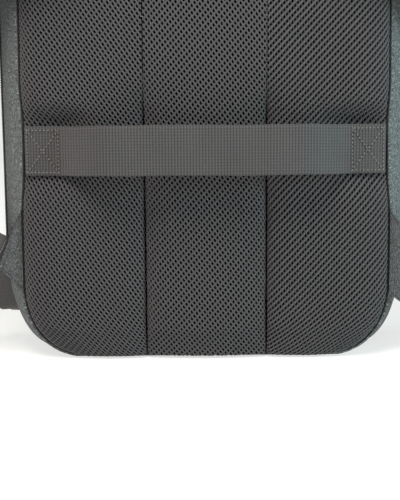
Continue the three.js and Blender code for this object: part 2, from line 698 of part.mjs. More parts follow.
// Padded strap: full and wide over the shoulder, thin at its bound edges, narrow at the lock.
function shoulderStrap(side) {
  const lock = lockFrame(side);
  const rows = side.strap.map((row) => ({
    at: place(side.sign, row.out, row.deep, row.up),
    face: faceOf(side, row, -1),
  }));
  const clear = (3 * lockBar + 2 * lockSlot) / 2 + seamGap + 0.3;
  for (const back of [clear + 14, clear]) {
    rows.push({ at: lock.at.clone().addScaledVector(lock.along, -back), face: lock.look });
  }
  const frames = strapFrames(rows, 31, new THREE.Vector3(-1, 0, 0));
  return strapSolid(frames, (share) => {
    const taper = smooth(0.62, 0.97, share);
    const half = mix(padWidth, padEndWidth, taper) / 2;
    const ends = Math.min(smooth(0, 0.15, share), 1 - smooth(0.88, 1, share));
    const edge = padEdge / 2;
    const full = mix(edge + 0.3, padThickness / 2, ends);
    return [
      [-half, -edge * 0.6],
      [-half + 5, -full * 0.72],
      [-half * 0.45, -full],
      [half * 0.45, -full],
      [half - 5, -full * 0.72],
      [half, -edge * 0.6],
      [half, edge * 0.6],
      [half - 5, full * 0.72],
      [half * 0.45, full],
      [-half * 0.45, full],
      [-half + 5, full * 0.72],
      [-half, edge * 0.6],
    ];
  });
}

// The handle: webbing sewn flat on top of the bag at both ends, with a padded grip that stands clear.
function haulHandle() {
  const topOf = (y) => sectionAt((y - backY) / topDepth).top;
  const y = backY + handleBack;
  const slope = (topOf(y + handleWidth / 2) - topOf(y - handleWidth / 2)) / handleWidth;
  const top = Math.max(topOf(y), (topOf(y + handleWidth / 2) + topOf(y - handleWidth / 2)) / 2);
  const reach = handleSpan / 2 + handleSewn;
  const steps = 32;
  const rise = (x) => (handleRise * (1 + Math.cos(Math.PI * clamp01(Math.abs(x) / (handleSpan / 2)) ** 1.35))) / 2;
  const rings = [];
  for (let i = 0; i <= steps; i++) {
    const x = mix(-reach, reach, i / steps);
    const normal = new THREE.Vector3(rise(x - 0.5) - rise(x + 0.5), 0, 1).normalize();
    const grip = smooth(0.72, 0.4, Math.abs(x) / (handleSpan / 2));
    const half = mix(handleWall, handlePad, grip) / 2;
    const width = handleWidth / 2;
    const at = new THREE.Vector3(x, y, top + seamGap + 0.3 + handleWall / 2 + rise(x));
    const corner = (across, n) => at.clone().add(new THREE.Vector3(0, across, slope * across)).addScaledVector(normal, n);
    rings.push([
      corner(-width, -half * 0.5),
      corner(-width * 0.6, -half),
      corner(width * 0.6, -half),
      corner(width, -half * 0.5),
      corner(width, half * 0.5),
      corner(width * 0.6, half),
      corner(-width * 0.6, half),
      corner(-width, half * 0.5),
    ]);
  }
  return swept(rings);
}

// A slider with its pull lying beside it, as one plain piece: a body over the zip and a flat tab.
function zipSlider(at, along, out) {
  const across = new THREE.Vector3().crossVectors(out, along);
  const outline = [
    [-sliderLength / 2, sliderWidth / 2],
    [sliderLength / 2, sliderWidth / 2 - 1.5],
    [sliderLength / 2 + 1, pullWidth / 2 - 0.8],
    [sliderLength / 2 + pullLength, pullWidth / 2],
  ];
  const rings = [];
  const level = (a, half, low, high) => {
    const p = (b, n) => at.clone().addScaledVector(along, a).addScaledVector(across, b).addScaledVector(out, n);
    return [p(-half, low), p(half, low), p(half, high), p(-half, high)];
  };
  rings.push(level(outline[0][0], outline[0][1], 0, sliderHeight));
  rings.push(level(outline[1][0], outline[1][1], 0, sliderHeight));
  rings.push(level(outline[2][0], outline[2][1], sliderHeight / 2 - pullHeight / 2, sliderHeight / 2 + pullHeight / 2));
  rings.push(level(outline[3][0], outline[3][1], sliderHeight / 2 - pullHeight / 2, sliderHeight / 2 + pullHeight / 2));
  return swept(rings);
}

// A slider on the main zip's flat top run, at a place across the bag.
function mainSlider(x, direction) {
  const middle = (zipFrom + zipTo) / 2;
  const top = sectionAt(middle).top;
  const at = new THREE.Vector3(x, backY + middle * depthAt(top), top + seamGap);
  return zipSlider(at, new THREE.Vector3(direction, 0, 0), new THREE.Vector3(0, 0, 1));
}

add('back_panel', backPanel(), looks.mesh);
add('back_binding', backBinding(), looks.binding);
add('yoke_band', yokeBand(), looks.heather);
add('rear_gusset', wallBetween(rearStart, zipFrom - gapShare, 4, archRow, 26), looks.heather);
add('main_zip', wallBetween(zipFrom, zipTo, 1, archRow, 26), looks.zip);
add('front_gusset', wallBetween(zipTo + gapShare, frontEnd, 5, archRow, 26), looks.heather);
add('base_panel', wallBetween(rearStart, frontEnd, 8, troughRow, 16, baseEase), looks.heather);

const frontSection = sectionAt(1);
const zipLow = frontZipHeight - frontZipWidth / 2;
const zipHigh = frontZipHeight + frontZipWidth / 2;
add('front_panel_lower', frontPanel(frontSection.low, zipLow - seamGap, 12, 1.9), looks.heather);
add('front_zip', frontPanel(zipLow, zipHigh, 1, 1), looks.zip);
add('front_panel_upper', frontPanel(zipHigh + seamGap, frontSection.top, 11, 0.55), looks.heather);

add('main_zip_slider_left', mainSlider(-sliderMeeting - sliderLength / 2 - seamGap, -1), looks.metal);
add('main_zip_slider_right', mainSlider(-sliderMeeting + sliderLength / 2 + seamGap, 1), looks.metal);
const frontSliderAt = frontPoint(frontSliderShare, frontZipHeight);
const frontSliderAlong = frontPoint(frontSliderShare + 0.1, frontZipHeight).sub(frontSliderAt).normalize();
const frontSliderOut = new THREE.Vector3(0, 0, 1).cross(frontSliderAlong).normalize();
frontSliderAt.addScaledVector(frontSliderOut, seamGap * 2);
add('front_zip_slider', zipSlider(frontSliderAt, frontSliderAlong, frontSliderOut), looks.metal);

add('luggage_strap', luggageStrap(), looks.webbing);
for (const [name, side] of Object.entries(sides)) {
  add(`strap_wing_${name}`, strapWing(side), looks.heather);
  add(`strap_webbing_${name}`, strapWebbing(side), looks.webbing);
  add(`ladder_lock_${name}`, ladderLock(side), looks.plastic);
  add(`shoulder_strap_${name}`, shoulderStrap(side), looks.heather);
}
add('haul_handle', haulHandle(), looks.webbing);

export default backpack;
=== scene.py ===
import math

import bpy
import numpy as np
from mathutils import Matrix, Vector


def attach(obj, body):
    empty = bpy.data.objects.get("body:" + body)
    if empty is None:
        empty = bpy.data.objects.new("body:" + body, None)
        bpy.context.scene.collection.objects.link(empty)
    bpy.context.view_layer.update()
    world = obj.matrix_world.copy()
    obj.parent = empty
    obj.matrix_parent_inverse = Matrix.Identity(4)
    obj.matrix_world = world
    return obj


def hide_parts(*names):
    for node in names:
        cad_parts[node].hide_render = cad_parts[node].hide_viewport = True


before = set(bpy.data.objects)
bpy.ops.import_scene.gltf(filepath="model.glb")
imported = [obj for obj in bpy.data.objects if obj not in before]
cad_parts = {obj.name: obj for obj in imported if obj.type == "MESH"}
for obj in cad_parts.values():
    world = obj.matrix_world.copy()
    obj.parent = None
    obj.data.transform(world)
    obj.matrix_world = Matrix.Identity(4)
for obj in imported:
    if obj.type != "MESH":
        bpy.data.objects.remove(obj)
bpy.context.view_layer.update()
root = "root"
mm = 0.001
scene = bpy.context.scene

# Lengths below are in millimetres and become metres where a mesh is made. The wearer's side looks towards -Y.
body = {
    "halfWidth": 160, "height": 447, "baseDepth": 140, "topDepth": 104, "backY": -70, "wall": 3,
    "cornerPower": 2.15, "seamHeight": 75, "seamGap": 0.4, "frontDome": 12, "backTaper": 1.7,
}
# The outline at shares of the depth, as shares of half the width and of the height.
bodySections = {
    "depth": (0.0, 0.04, 0.1, 0.27, 0.6, 0.9, 1.0),
    "wide": (0.9012, 0.923, 0.955, 1.0, 0.985, 0.956, 0.93),
    "lowAcross": (0.3, 0.295, 0.29, 0.245, 0.22, 0.235, 0.25),
    "lowUp": (0.13, 0.145, 0.17, 0.195, 0.175, 0.15, 0.14),
    "topAcross": (0.44, 0.45, 0.47, 0.5, 0.5, 0.49, 0.47),
    "topUp": (0.157, 0.161, 0.168, 0.179, 0.179, 0.174, 0.166),
    "low": (0.0027, 0, 0, 0, 0, 0, 0.009),
    "top": (0.982, 0.987, 0.994, 1.0, 0.993, 0.97, 0.951),
}
pad = {
    "width": 283.6, "top": 398, "rise": 11, "channel": 4, "edgeRise": 1.5, "spacing": 94, "shoulder": 22,
    "topFall": 46, "droop": 8, "roundness": 6, "filledAbove": 0.78, "filledBelow": 0.05,
}
luggage = {"width": 38, "wall": 1.8, "height": 165.2, "standOff": 20, "lift": 3.6, "slot": 156, "sewn": 29}


# Small sums that every piece uses
def clamp(value):
    return np.clip(value, 0, 1)


def smooth(low, high, value):
    share = clamp((np.asarray(value, float) - low) / (high - low))
    return share * share * (3 - 2 * share)


def mix(a, b, share):
    return a + (b - a) * share


def bell(value, spread):
    return np.exp(-((np.asarray(value, float) / spread) ** 4))


def unit(vectors):
    return vectors / np.maximum(np.linalg.norm(vectors, axis=-1, keepdims=True), 1e-9)


def waves(a, b, size, seed):  # soft random bumps from -1 to 1, each about that size
    table = np.random.default_rng(seed).uniform(-1, 1, (97, 97))
    a, b = np.broadcast_arrays(np.asarray(a, float) / size, np.asarray(b, float) / size)
    i, j = np.floor(a).astype(int), np.floor(b).astype(int)
    s, t = smooth(0, 1, a - i), smooth(0, 1, b - j)
    low = mix(table[i % 97, j % 97], table[(i + 1) % 97, j % 97], s)
    high = mix(table[i % 97, (j + 1) % 97], table[(i + 1) % 97, (j + 1) % 97], s)
    return mix(low, high, t)


def runOf(line):  # length along a line to each of its points
    steps = np.linalg.norm(np.diff(line, axis=0), axis=1)
    return np.concatenate([[0], np.cumsum(steps)])


def along(line, places):  # points of a line at those lengths
    run = runOf(line)
    return np.stack([np.interp(places, run, line[:, k]) for k in range(line.shape[1])], -1)


def evenly(line, count):
    return along(line, np.linspace(0, runOf(line)[-1], count))


def gridNormals(points, outFrom=None):  # unit normals of a grid of points, turned away from a middle point
    down = np.gradient(points, axis=0)
    right = np.gradient(points, axis=1)
    normals = unit(np.cross(down, right))
    middle = points.mean((0, 1)) if outFrom is None else np.asarray(outFrom, float)
    if (normals * (points - middle)).sum() < 0:
        normals = -normals
    return normals


def gridLengths(points):  # how far each grid point lies across and along, from the grid's middle
    across = np.linalg.norm(np.diff(points, axis=1), axis=-1).cumsum(1)
    across = np.pad(across, ((0, 0), (1, 0)))
    across -= across[:, across.shape[1] // 2][:, None]
    middle = points[:, points.shape[1] // 2]
    up = runOf(middle)
    up = np.broadcast_to((up - up[-1] / 2)[:, None], across.shape)
    return np.stack([across, up], -1)


# Meshes from grids of points
def makePiece(name, points, faces, cut, cutOf, finish, sharp=50):
    mesh = bpy.data.meshes.new(name)
    mesh.from_pydata((np.asarray(points, float) * mm).tolist(), [], [list(map(int, f)) for f in faces])
    layer = mesh.uv_layers.new(name="cut")
    corners = np.concatenate([np.asarray(c, int) for c in cutOf])
    layer.data.foreach_set("uv", (np.asarray(cut, float)[corners] * mm).ravel())
    mesh.polygons.foreach_set("use_smooth", np.ones(len(mesh.polygons), bool))
    mesh.set_sharp_from_angle(angle=math.radians(sharp))
    mesh.materials.append(finish)
    piece = bpy.data.objects.new(name, mesh)
    scene.collection.objects.link(piece)
    return piece


def loft(name, rings, cut, finish, closed=False, sharp=50):
    # rings: rows of points round a closed section; cut: the same with the first column again at the end
    rows, count = rings.shape[:2]
    i, j = np.meshgrid(np.arange(rows if closed else rows - 1), np.arange(count), indexing="ij")
    nextI, nextJ = (i + 1) % rows, (j + 1) % count
    faces = np.stack([i * count + j, nextI * count + j, nextI * count + nextJ, i * count + nextJ], -1)
    wide = count + 1
    cutI = i + 1
    cutOf = np.stack([i * wide + j, cutI * wide + j, cutI * wide + j + 1, i * wide + j + 1], -1)
    points = rings.reshape(-1, 3)
    a, b, c, d = (points[faces[:, k]] for k in range(4))
    volume = (a * np.cross(b, c)).sum() + (a * np.cross(c, d)).sum()
    faces, cutOf = list(faces.reshape(-1, 4)), list(cutOf.reshape(-1, 4))
    if not closed:
        for row, turned in ((0, True), (rows - 1, False)):
            for k in range(count // 2 - 1):
                cap = [row * count + q for q in (k, count - 1 - k, count - 2 - k, k + 1)]
                capCut = [row * wide + q for q in (k, count - 1 - k, count - 2 - k, k + 1)]
                faces.append(cap[::-1] if turned else cap)
                cutOf.append(capCut[::-1] if turned else capCut)
    if volume < 0:
        faces = [f[::-1] for f in faces]
        cutOf = [f[::-1] for f in cutOf]
    return makePiece(name, points, faces, cut.reshape(-1, 2), cutOf, finish, sharp)


def roundCut(cut):  # the flat measure over a front and back under it
    return np.concatenate([cut, cut[:, ::-1], cut[:, :1]], axis=1)


def cloth(name, front, wall, finish, cut=None, normals=None, outFrom=None, sharp=50):
    # a sheet of cloth with its thickness behind the front grid, closed at its edges
    normals = gridNormals(front, outFrom) if normals is None else normals
    back = front - normals * wall
    cut = gridLengths(front) if cut is None else cut
    rings = np.concatenate([front, back[:, ::-1]], axis=1)
    full = roundCut(cut)
    return loft(name, rings, full, finish, sharp=sharp)


def tube(name, line, radius, finish, around=8, closed=False, lift=None):
    # a round cord along a line; lift changes its radius at each point and angle
    ahead = np.roll(line, -1, 0) if closed else np.vstack([line[1:], 2 * line[-1] - line[-2]])
    behind = np.roll(line, 1, 0) if closed else np.vstack([2 * line[0] - line[1], line[:-1]])
    tangent = unit(ahead - behind)
    side = unit(np.cross(tangent, np.array([0.03, 1.0, 0.02])))
    top = np.cross(side, tangent)
    angle = np.arange(around) / around * 2 * math.pi
    size = radius * np.ones((len(line), around))
    if lift is not None:
        size = radius + lift(runOf(line)[:, None], angle[None])
    ring = np.cos(angle)[None, :, None] * side[:, None] + np.sin(angle)[None, :, None] * top[:, None]
    rings = line[:, None] + ring * size[..., None]
    run = runOf(np.vstack([line, line[:1]]) if closed else line)
    turn = np.arange(around + 1) / around * 2 * math.pi * radius
    cut = np.stack(np.broadcast_arrays(turn[None], run[:, None]), -1)
    return loft(name, rings, cut, finish, closed=closed)


def joinPieces(name, pieces):  # several meshes as one piece
    with bpy.context.temp_override(active_object=pieces[0], selected_editable_objects=pieces):
        bpy.ops.object.join()
    pieces[0].name = name
    return pieces[0]


def settle(piece, slot, *nodes, fill=None):  # every piece rides on the one body
    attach(piece, root)
    if nodes:
        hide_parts(*nodes)
    return piece


# Node trees
def linear(hexColour):  # an sRGB hex colour as linear values
    values = [int(hexColour[k : k + 2], 16) / 255 for k in (1, 3, 5)]
    return tuple(v / 12.92 if v <= 0.04045 else ((v + 0.055) / 1.055) ** 2.4 for v in values) + (1.0,)


def addNode(tree, kind, settings=None, inputs=None):
    node = tree.nodes.new(kind)
    for name, value in (settings or {}).items():
        setattr(node, name, value)
    for key, value in (inputs or {}).items():
        socket = node.inputs[key]
        if isinstance(value, bpy.types.Node):
            value = next(o for o in value.outputs if o.enabled)
        if isinstance(value, bpy.types.NodeSocket):
            tree.links.new(value, socket)
        else:
            socket.default_value = value
    return node


def maths(tree, operation, *values):
    return addNode(tree, "ShaderNodeMath", {"operation": operation}, dict(enumerate(values)))


def blended(tree, share, first, second):
    return addNode(tree, "ShaderNodeMix", {"data_type": "FLOAT"}, {0: share, 2: first, 3: second}).outputs[0]


def noiseOf(tree, vector, detail, **more):
    return addNode(tree, "ShaderNodeTexNoise", None,
                   {"Vector": vector, "Scale": 1.0, "Detail": detail, **more})


def newFinish(name, values):
    finish = bpy.data.materials.new(name)
    finish.use_nodes = True
    tree = finish.node_tree
    shader = next(n for n in tree.nodes if n.type == "BSDF_PRINCIPLED")
    for key, value in values.items():
        shader.inputs[key].default_value = value
    return finish, tree, shader


print("helpers ready")

# Camera at the photo's viewing angle, and an even, bright studio
view = {"place": (-4.7, -1147.5, 295.0), "pitch": -11.0, "roll": 0.45, "lens": 100.8}


def makeCamera():
    pitch, roll = math.radians(view["pitch"]), math.radians(view["roll"])
    forward = np.array([0, math.cos(pitch), math.sin(pitch)])
    right = np.array([1.0, 0, 0])
    up = np.cross(right, forward)
    axes = np.array([right * math.cos(roll) - up * math.sin(roll),
        right * math.sin(roll) + up * math.cos(roll), -forward])
    data = bpy.data.cameras.new("camera")
    data.lens = view["lens"]
    data.sensor_width = 36
    data.sensor_fit = "AUTO"
    data.clip_end = 20
    camera = bpy.data.objects.new("camera", data)
    turn = Matrix(axes.T.tolist()).to_4x4()
    turn.translation = [v * mm for v in view["place"]]
    camera.matrix_world = turn
    scene.collection.objects.link(camera)
    scene.camera = camera


studio = {
    "paper": "#fffffd", "paperStrength": 1.0, "surround": 0.38, "floor": "#adadac", "glow": 0.64,
    "key": {"place": (-0.15, -0.55, 1.05), "size": 0.45, "power": 10, "colour": "#fffaf2"},
    "side": {"place": (1.2, -0.65, 0.4), "size": 0.5, "power": 14, "colour": "#c8eaf0"},
    "fill": {"place": (-1.2, -0.65, 0.4), "size": 0.5, "power": 4, "colour": "#ffffff"},
}


def makeStudio():
    scene.view_settings.view_transform = "Standard"
    world = bpy.data.worlds.new("studio")
    world.use_nodes = True
    background = next(n for n in world.node_tree.nodes if n.type == "BACKGROUND")
    background.inputs["Color"].default_value = linear(studio["paper"])
    seen = addNode(world.node_tree, "ShaderNodeLightPath")
    strength = addNode(world.node_tree, "ShaderNodeMapRange", None, {
        "Value": seen.outputs["Is Camera Ray"], "To Min": studio["surround"],
        "To Max": studio["paperStrength"]})
    world.node_tree.links.new(strength.outputs["Result"], background.inputs["Strength"])
    scene.world = world
    for name in ("key", "side", "fill"):
        spec = studio[name]
        data = bpy.data.lights.new(name, "AREA")
        data.size = spec["size"]
        data.energy = spec["power"]
        data.color = linear(spec["colour"])[:3]
        lamp = bpy.data.objects.new(name, data)
        aim = Vector((0, 0, 0.2)) - Vector(spec["place"])
        lamp.rotation_euler = aim.to_track_quat("-Z", "Y").to_euler()
        lamp.location = spec["place"]
        scene.collection.objects.link(lamp)
    finish, _, _ = newFinish("matt studio paper", {
        "Base Color": linear(studio["floor"]), "Roughness": 0.9, "Emission Color": linear(studio["paper"]),
        "Emission Strength": studio["glow"]})
    mesh = bpy.data.meshes.new("floor")
    half = 9.0
    mesh.from_pydata(
        [(-half, -half, 0), (half, -half, 0), (half, half, 0), (-half, half, 0)], [], [(0, 1, 2, 3)])
    mesh.materials.append(finish)
    floor = bpy.data.objects.new("floor", mesh)
    scene.collection.objects.link(floor)


makeCamera()
makeStudio()
print("camera and studio ready")


# Materials, each named for the real finish
def objectMap(tree, size):  # the piece's own space, in repeats of a size in mm
    place = addNode(tree, "ShaderNodeTexCoord")
    return addNode(tree, "ShaderNodeMapping", None,
                   {"Vector": place.outputs["Object"], "Scale": (1000 / size,) * 3})


def weaveBump(tree, shader, height, strength, distance):
    bump = addNode(tree, "ShaderNodeBump", None,
                   {"Strength": strength, "Distance": distance * mm, "Height": height})
    tree.links.new(bump.outputs["Normal"], shader.inputs["Normal"])


def cutMap(tree, scale):  # the piece's own flat measure, stretched by a scale in repeats per metre
    flat = addNode(tree, "ShaderNodeUVMap", {"uv_map": "cut"})
    return addNode(tree, "ShaderNodeMapping", None, {"Vector": flat, "Scale": scale})


def threadMap(tree, pitch):  # turns along both threads of a weave
    threads = cutMap(tree, (2 * math.pi * 1000 / pitch,) * 2 + (1,))
    return addNode(tree, "ShaderNodeSeparateXYZ", None, {"Vector": threads})


def plainWeave(tree, pitch):
    split = threadMap(tree, pitch)
    warp = maths(tree, "SINE", split.outputs["X"])
    return maths(tree, "MULTIPLY", warp, maths(tree, "SINE", split.outputs["Y"]))


def colourBy(tree, shader, factor, stops):  # the base colour by a ramp with hex stops
    node = addNode(tree, "ShaderNodeValToRGB", None, {"Fac": factor})
    elements = node.color_ramp.elements
    while len(elements) < len(stops):
        elements.new(0.5)
    for element, (place, colour) in zip(elements, stops):
        element.position = place
        element.color = linear(colour)
    tree.links.new(node.outputs["Color"], shader.inputs["Base Color"])


heather = {
    "dark": "#282b2b", "middle": "#5c5f5e", "light": "#999d9c", "fleckAcross": 1.05, "fleckUp": 0.6,
    "slub": 3.0, "thread": 1.3, "roughness": 0.9, "bump": 0.5,
}


def makeHeather(name="woven polyester melange", spec=heather):
    # plain-weave polyester of mixed dark and light yarns: a matt grey with short, slanting flecks.
    # The real thread is 0.4 mm; it is drawn at 1.3 mm so that it shows.
    finish, tree, shader = newFinish(name, {"Roughness": spec["roughness"], "Specular IOR Level": 0.25})
    flecks = cutMap(tree, (1000 / spec["fleckAcross"], 1000 / spec["fleckUp"], 1))
    flecks.inputs["Rotation"].default_value = (0, 0, math.radians(33))
    fine = noiseOf(tree, flecks, 2.5, Roughness=0.7)
    slubs = cutMap(tree, (1000 / spec["slub"], 1000 / spec["slub"] * 2.2, 1))
    coarse = noiseOf(tree, slubs, 1.0)
    both = blended(tree, 0.24, fine.outputs["Fac"], coarse.outputs["Fac"])
    colourBy(tree, shader, both, ((0.36, spec["dark"]), (0.5, spec["middle"]), (0.64, spec["light"])))
    height = maths(tree, "ADD", plainWeave(tree, spec["thread"]), fine.outputs["Fac"])
    weaveBump(tree, shader, height, spec["bump"], 0.3)
    return finish


# deep is painted shade for the hole walls, high is painted highlight on the ridges, low is close to the
# yarn's own grey
knit = {"deep": "#121112", "low": "#373536", "high": "#625f61", "fuzz": 0.7, "roughness": 0.82}


def makeKnit():
    # warp-knitted polyester spacer mesh: matt, dark grey yarn with a soft sheen. Its colour is painted
    # lighter on the ridges as painted highlight and near black down the holes as painted shade
    finish, tree, shader = newFinish("knitted spacer mesh yarn",
        {"Roughness": knit["roughness"], "Sheen Weight": 0.12})
    shader.inputs["Specular IOR Level"].default_value = 0.3
    scaled = objectMap(tree, knit["fuzz"])
    noise = noiseOf(tree, scaled, 2.0)
    paintedLightAndShade = addNode(tree, "ShaderNodeAttribute", {"attribute_name": "paintedLightAndShade"})
    both = blended(tree, 0.3, paintedLightAndShade.outputs["Fac"], noise.outputs["Fac"])
    colourBy(tree, shader, both, ((0.12, knit["deep"]), (0.42, knit["low"]), (0.8, knit["high"])))
    weaveBump(tree, shader, noise.outputs["Fac"], 0.4, 0.15)
    return finish


# near-black colours: partly the lining's own colour, partly painted shade inside the mesh's holes
foam = {"low": "#0d0d0e", "high": "#171718", "cell": 0.8, "roughness": 0.95}


def makeShadedFoam():
    # open-cell foam with a brushed lining, seen only through the mesh's holes: nearly black, partly the
    # lining's own dark colour and partly painted shade for the holes
    finish, tree, shader = newFinish("foam lining painted as hole shade",
        {"Roughness": foam["roughness"], "Specular IOR Level": 0.1})
    scaled = objectMap(tree, foam["cell"])
    noise = noiseOf(tree, scaled, 1.0)
    colourBy(tree, shader, noise.outputs["Fac"], ((0.35, foam["low"]), (0.65, foam["high"])))
    return finish


def makeWoven(name, low, high, pitch, fleck, roughness=0.72, sheen=0.1, strength=0.3):
    # flat polyester yarn woven tight: its colour changes a little from yarn to yarn, with a dull sheen
    finish, tree, shader = newFinish(
        name, {"Roughness": roughness, "Sheen Weight": sheen, "Specular IOR Level": 0.3})
    yarns = cutMap(tree, (1000 / fleck[0], 1000 / fleck[1], 1))
    noise = noiseOf(tree, yarns, 2.0)
    colourBy(tree, shader, noise.outputs["Fac"], ((0.3, low), (0.7, high)))
    height = maths(tree, "ADD", plainWeave(tree, pitch), noise.outputs["Fac"])
    weaveBump(tree, shader, height, strength, 0.2)
    return finish


def makeRibbed(name, paintedValleyShade, low, high, pitch, roughness=0.7):
    # grosgrain-like polyester webbing: cords under the weave stand as ribs; the valleys between them are
    # painted darker as painted shade
    finish, tree, shader = newFinish(
        name, {"Roughness": roughness, "Sheen Weight": 0.1, "Specular IOR Level": 0.3})
    split = threadMap(tree, pitch)
    rib = maths(tree, "COSINE", split.outputs["X"])
    lines = maths(tree, "SINE", split.outputs["Y"])
    checks = maths(tree, "MULTIPLY_ADD", lines, 0.6, rib)
    # the rib pattern sets where the valleys get painted shade
    level = addNode(tree, "ShaderNodeMapRange", None, {"Value": checks, "From Min": 1.6, "From Max": -1.6})
    yarns = cutMap(tree, (1000 / 0.5, 1000 / 1.6, 1))
    noise = noiseOf(tree, yarns, 2.0)
    wide = cutMap(tree, (1000 / 24, 1000 / 60, 1))
    patches = noiseOf(tree, wide, 1.0)
    grain = blended(tree, 0.35, noise.outputs["Fac"], patches.outputs["Fac"])
    both = blended(tree, 0.5, level.outputs["Result"], grain)
    colourBy(tree, shader, both, ((0.15, paintedValleyShade), (0.45, low), (0.8, high)))
    height = maths(tree, "MULTIPLY_ADD", lines, 0.4, noise.outputs["Fac"])
    weaveBump(tree, shader, height, 0.35, 0.2)
    return finish


def makeMoulded(name, colour, high, roughness, metallic=0.0, grain=0.6):
    # a moulded or cast piece: smooth, with a fine grain that dulls its gloss in places
    finish, tree, shader = newFinish(name, {"Metallic": metallic})
    scaled = objectMap(tree, grain)
    noise = noiseOf(tree, scaled, 2.0)
    colourBy(tree, shader, noise.outputs["Fac"], ((0.3, colour), (0.7, high)))
    gloss = addNode(tree, "ShaderNodeMapRange", None, {
        "Value": noise.outputs["Fac"], "To Min": roughness, "To Max": roughness + 0.15})
    tree.links.new(gloss.outputs["Result"], shader.inputs["Roughness"])
    weaveBump(tree, shader, noise.outputs["Fac"], 0.12, 0.1)
    return finish


heatherCloth = makeHeather()
# the body's own melange painted darker for the wings: painted shade, since the wings are the same cloth
# turned away from the light
shadedWingCloth = makeHeather("woven polyester melange painted darker as shade", {
    **heather, "dark": "#232425", "middle": "#4d4e4f", "light": "#828384"})
knitYarn = makeKnit()
shadedFoamLining = makeShadedFoam()
# the first colour is painted shade for the rib valleys
webbing = makeRibbed("ribbed polyester webbing", "#2f2d2e", "#413f3f", "#575454", 2.3)
strapWebbing = makeWoven("flat polyester webbing", "#3d3b3a", "#575453", 1.1, (0.6, 2.2))
# near black: the tape's own colour, and at the back seam also painted shade for the crevice there
bindingTapeAndSeamShade = makeWoven("grosgrain binding tape", "#161616", "#262627", 0.8, (0.8, 0.8), 0.85)
zipTape = makeWoven("woven zip tape", "#1c1d1e", "#2b2c2d", 0.9, (0.9, 0.5), 0.8)
greyThread = makeMoulded("twisted grey polyester thread", "#5d5a58", "#807c79", 0.6)
darkThread = makeMoulded("twisted black polyester thread", "#1a1a1b", "#2b2b2c", 0.6)
zipNylon = makeMoulded("nylon zip coil", "#1a1b1c", "#292a2b", 0.42)
lockPlastic = makeMoulded("moulded acetal", "#151516", "#1f1f20", 0.38)
platedZinc = makeMoulded("dark plated zinc casting", "#4b4c4f", "#5c5d60", 0.3, 0.9)
print("materials ready")


# The body's shape, as the plain model has it
def sectionAt(share):
    depths = bodySections["depth"]
    k = next((i for i, d in enumerate(depths) if d >= share - 1e-9), len(depths) - 1)
    k = max(k, 1)
    f = float(smooth(depths[k - 1], depths[k], share))
    unitOf = {"wide": body["halfWidth"], "lowAcross": body["halfWidth"], "topAcross": body["halfWidth"]}
    return {
        key: float(mix(row[k - 1], row[k], f)) * unitOf.get(key, body["height"])
        for key, row in bodySections.items() if key != "depth"
    }


def depthAt(z):
    return mix(body["baseDepth"], body["topDepth"], smooth(0.28, 1, np.asarray(z) / body["height"]))


def halfOutline(section, steps=40):  # middle of the base, round the right side, to the middle of the top
    angle = np.linspace(0, math.pi / 2, steps + 1)
    c = np.cos(angle).clip(0) ** (2 / body["cornerPower"])
    s = np.sin(angle).clip(0) ** (2 / body["cornerPower"])
    lowX = section["wide"] - section["lowAcross"] * (1 - s)
    lowZ = section["low"] + section["lowUp"] * (1 - c)
    topX = section["wide"] - section["topAcross"] * (1 - c)
    topZ = section["top"] - section["topUp"] * (1 - s)
    x = np.concatenate([[0], lowX, topX, [0]])
    z = np.concatenate([[section["low"]], lowZ, topZ, [section["top"]]])
    return np.stack([x, z], -1)


def halfWidthAt(section, z):
    below = clamp((section["low"] + section["lowUp"] - z) / section["lowUp"])
    above = clamp((z - (section["top"] - section["topUp"])) / section["topUp"])
    power = body["cornerPower"]

    def inset(s, across):
        return across * (1 - (1 - s ** power) ** (1 / power))
    return section["wide"] - inset(below, section["lowAcross"]) - inset(above, section["topAcross"])


def waistPull(z, share):
    z = np.asarray(z, float)
    pull = (body["backTaper"] * smooth(0.2, 0.65, z / body["height"])
            + 2 * bell(z - luggage["height"], luggage["width"]))
    return pull * (1 - smooth(0, 0.2, share))


def bodyRow(half, share):  # both halves of a row, from the right side round to the left
    x, z = half[:, 0], half[:, 1]
    right = np.stack([x - waistPull(z, share), body["backY"] + share * depthAt(z), z], -1)
    left = right[::-1] * np.array([-1, 1, 1])
    return right, left


def archRow(share, count, fromZ=None):  # over the top, from one side seam to the other
    line = halfOutline(sectionAt(share))
    fromZ = body["seamHeight"] + body["seamGap"] if fromZ is None else fromZ
    run = runOf(line)
    k = next(i for i in range(2, len(line)) if line[i, 1] >= fromZ)
    start = mix(run[k - 1], run[k], (fromZ - line[k - 1, 1]) / (line[k, 1] - line[k - 1, 1]))
    half = along(line, np.linspace(start, run[-1], count))
    right, left = bodyRow(half, share)
    return np.vstack([right, left[1:]])


def troughRow(share, count):  # under the base, from one side seam to the other
    line = halfOutline(sectionAt(share))
    run = runOf(line)
    toZ = body["seamHeight"] - body["seamGap"] / 2
    k = next(i for i in range(2, len(line)) if line[i, 1] >= toZ)
    end = mix(run[k - 1], run[k], (toZ - line[k - 1, 1]) / (line[k, 1] - line[k - 1, 1]))
    half = along(line, np.linspace(0, end, count))
    right, left = bodyRow(half, share)
    return np.vstack([left, right[1:]])


def backSection():
    section = sectionAt(0)
    inset = section["wide"] - pad["width"] / 2
    grown = {"low": 1, "top": -1}
    return {key: value + grown.get(key, -1) * inset for key, value in section.items()}


back = backSection()


def panelReach(z):
    return halfWidthAt(back, z) - waistPull(z, 0)


# Back panel: three foam pads under knitted spacer mesh, with two sewn channels between them
halfChannel = pad["spacing"] / 2
padDetail = {
    "columns": 56, "rows": 190, "wave": 40, "waveHeight": 1.3, "pucker": 9, "puckerHeight": 0.6,
    "seamGap": 0.7,
}
# where the strap's sewn ends pull the pads in
padHollow = {"depth": 6.5, "up": 190, "high": 8, "out": 115, "wide": 20}


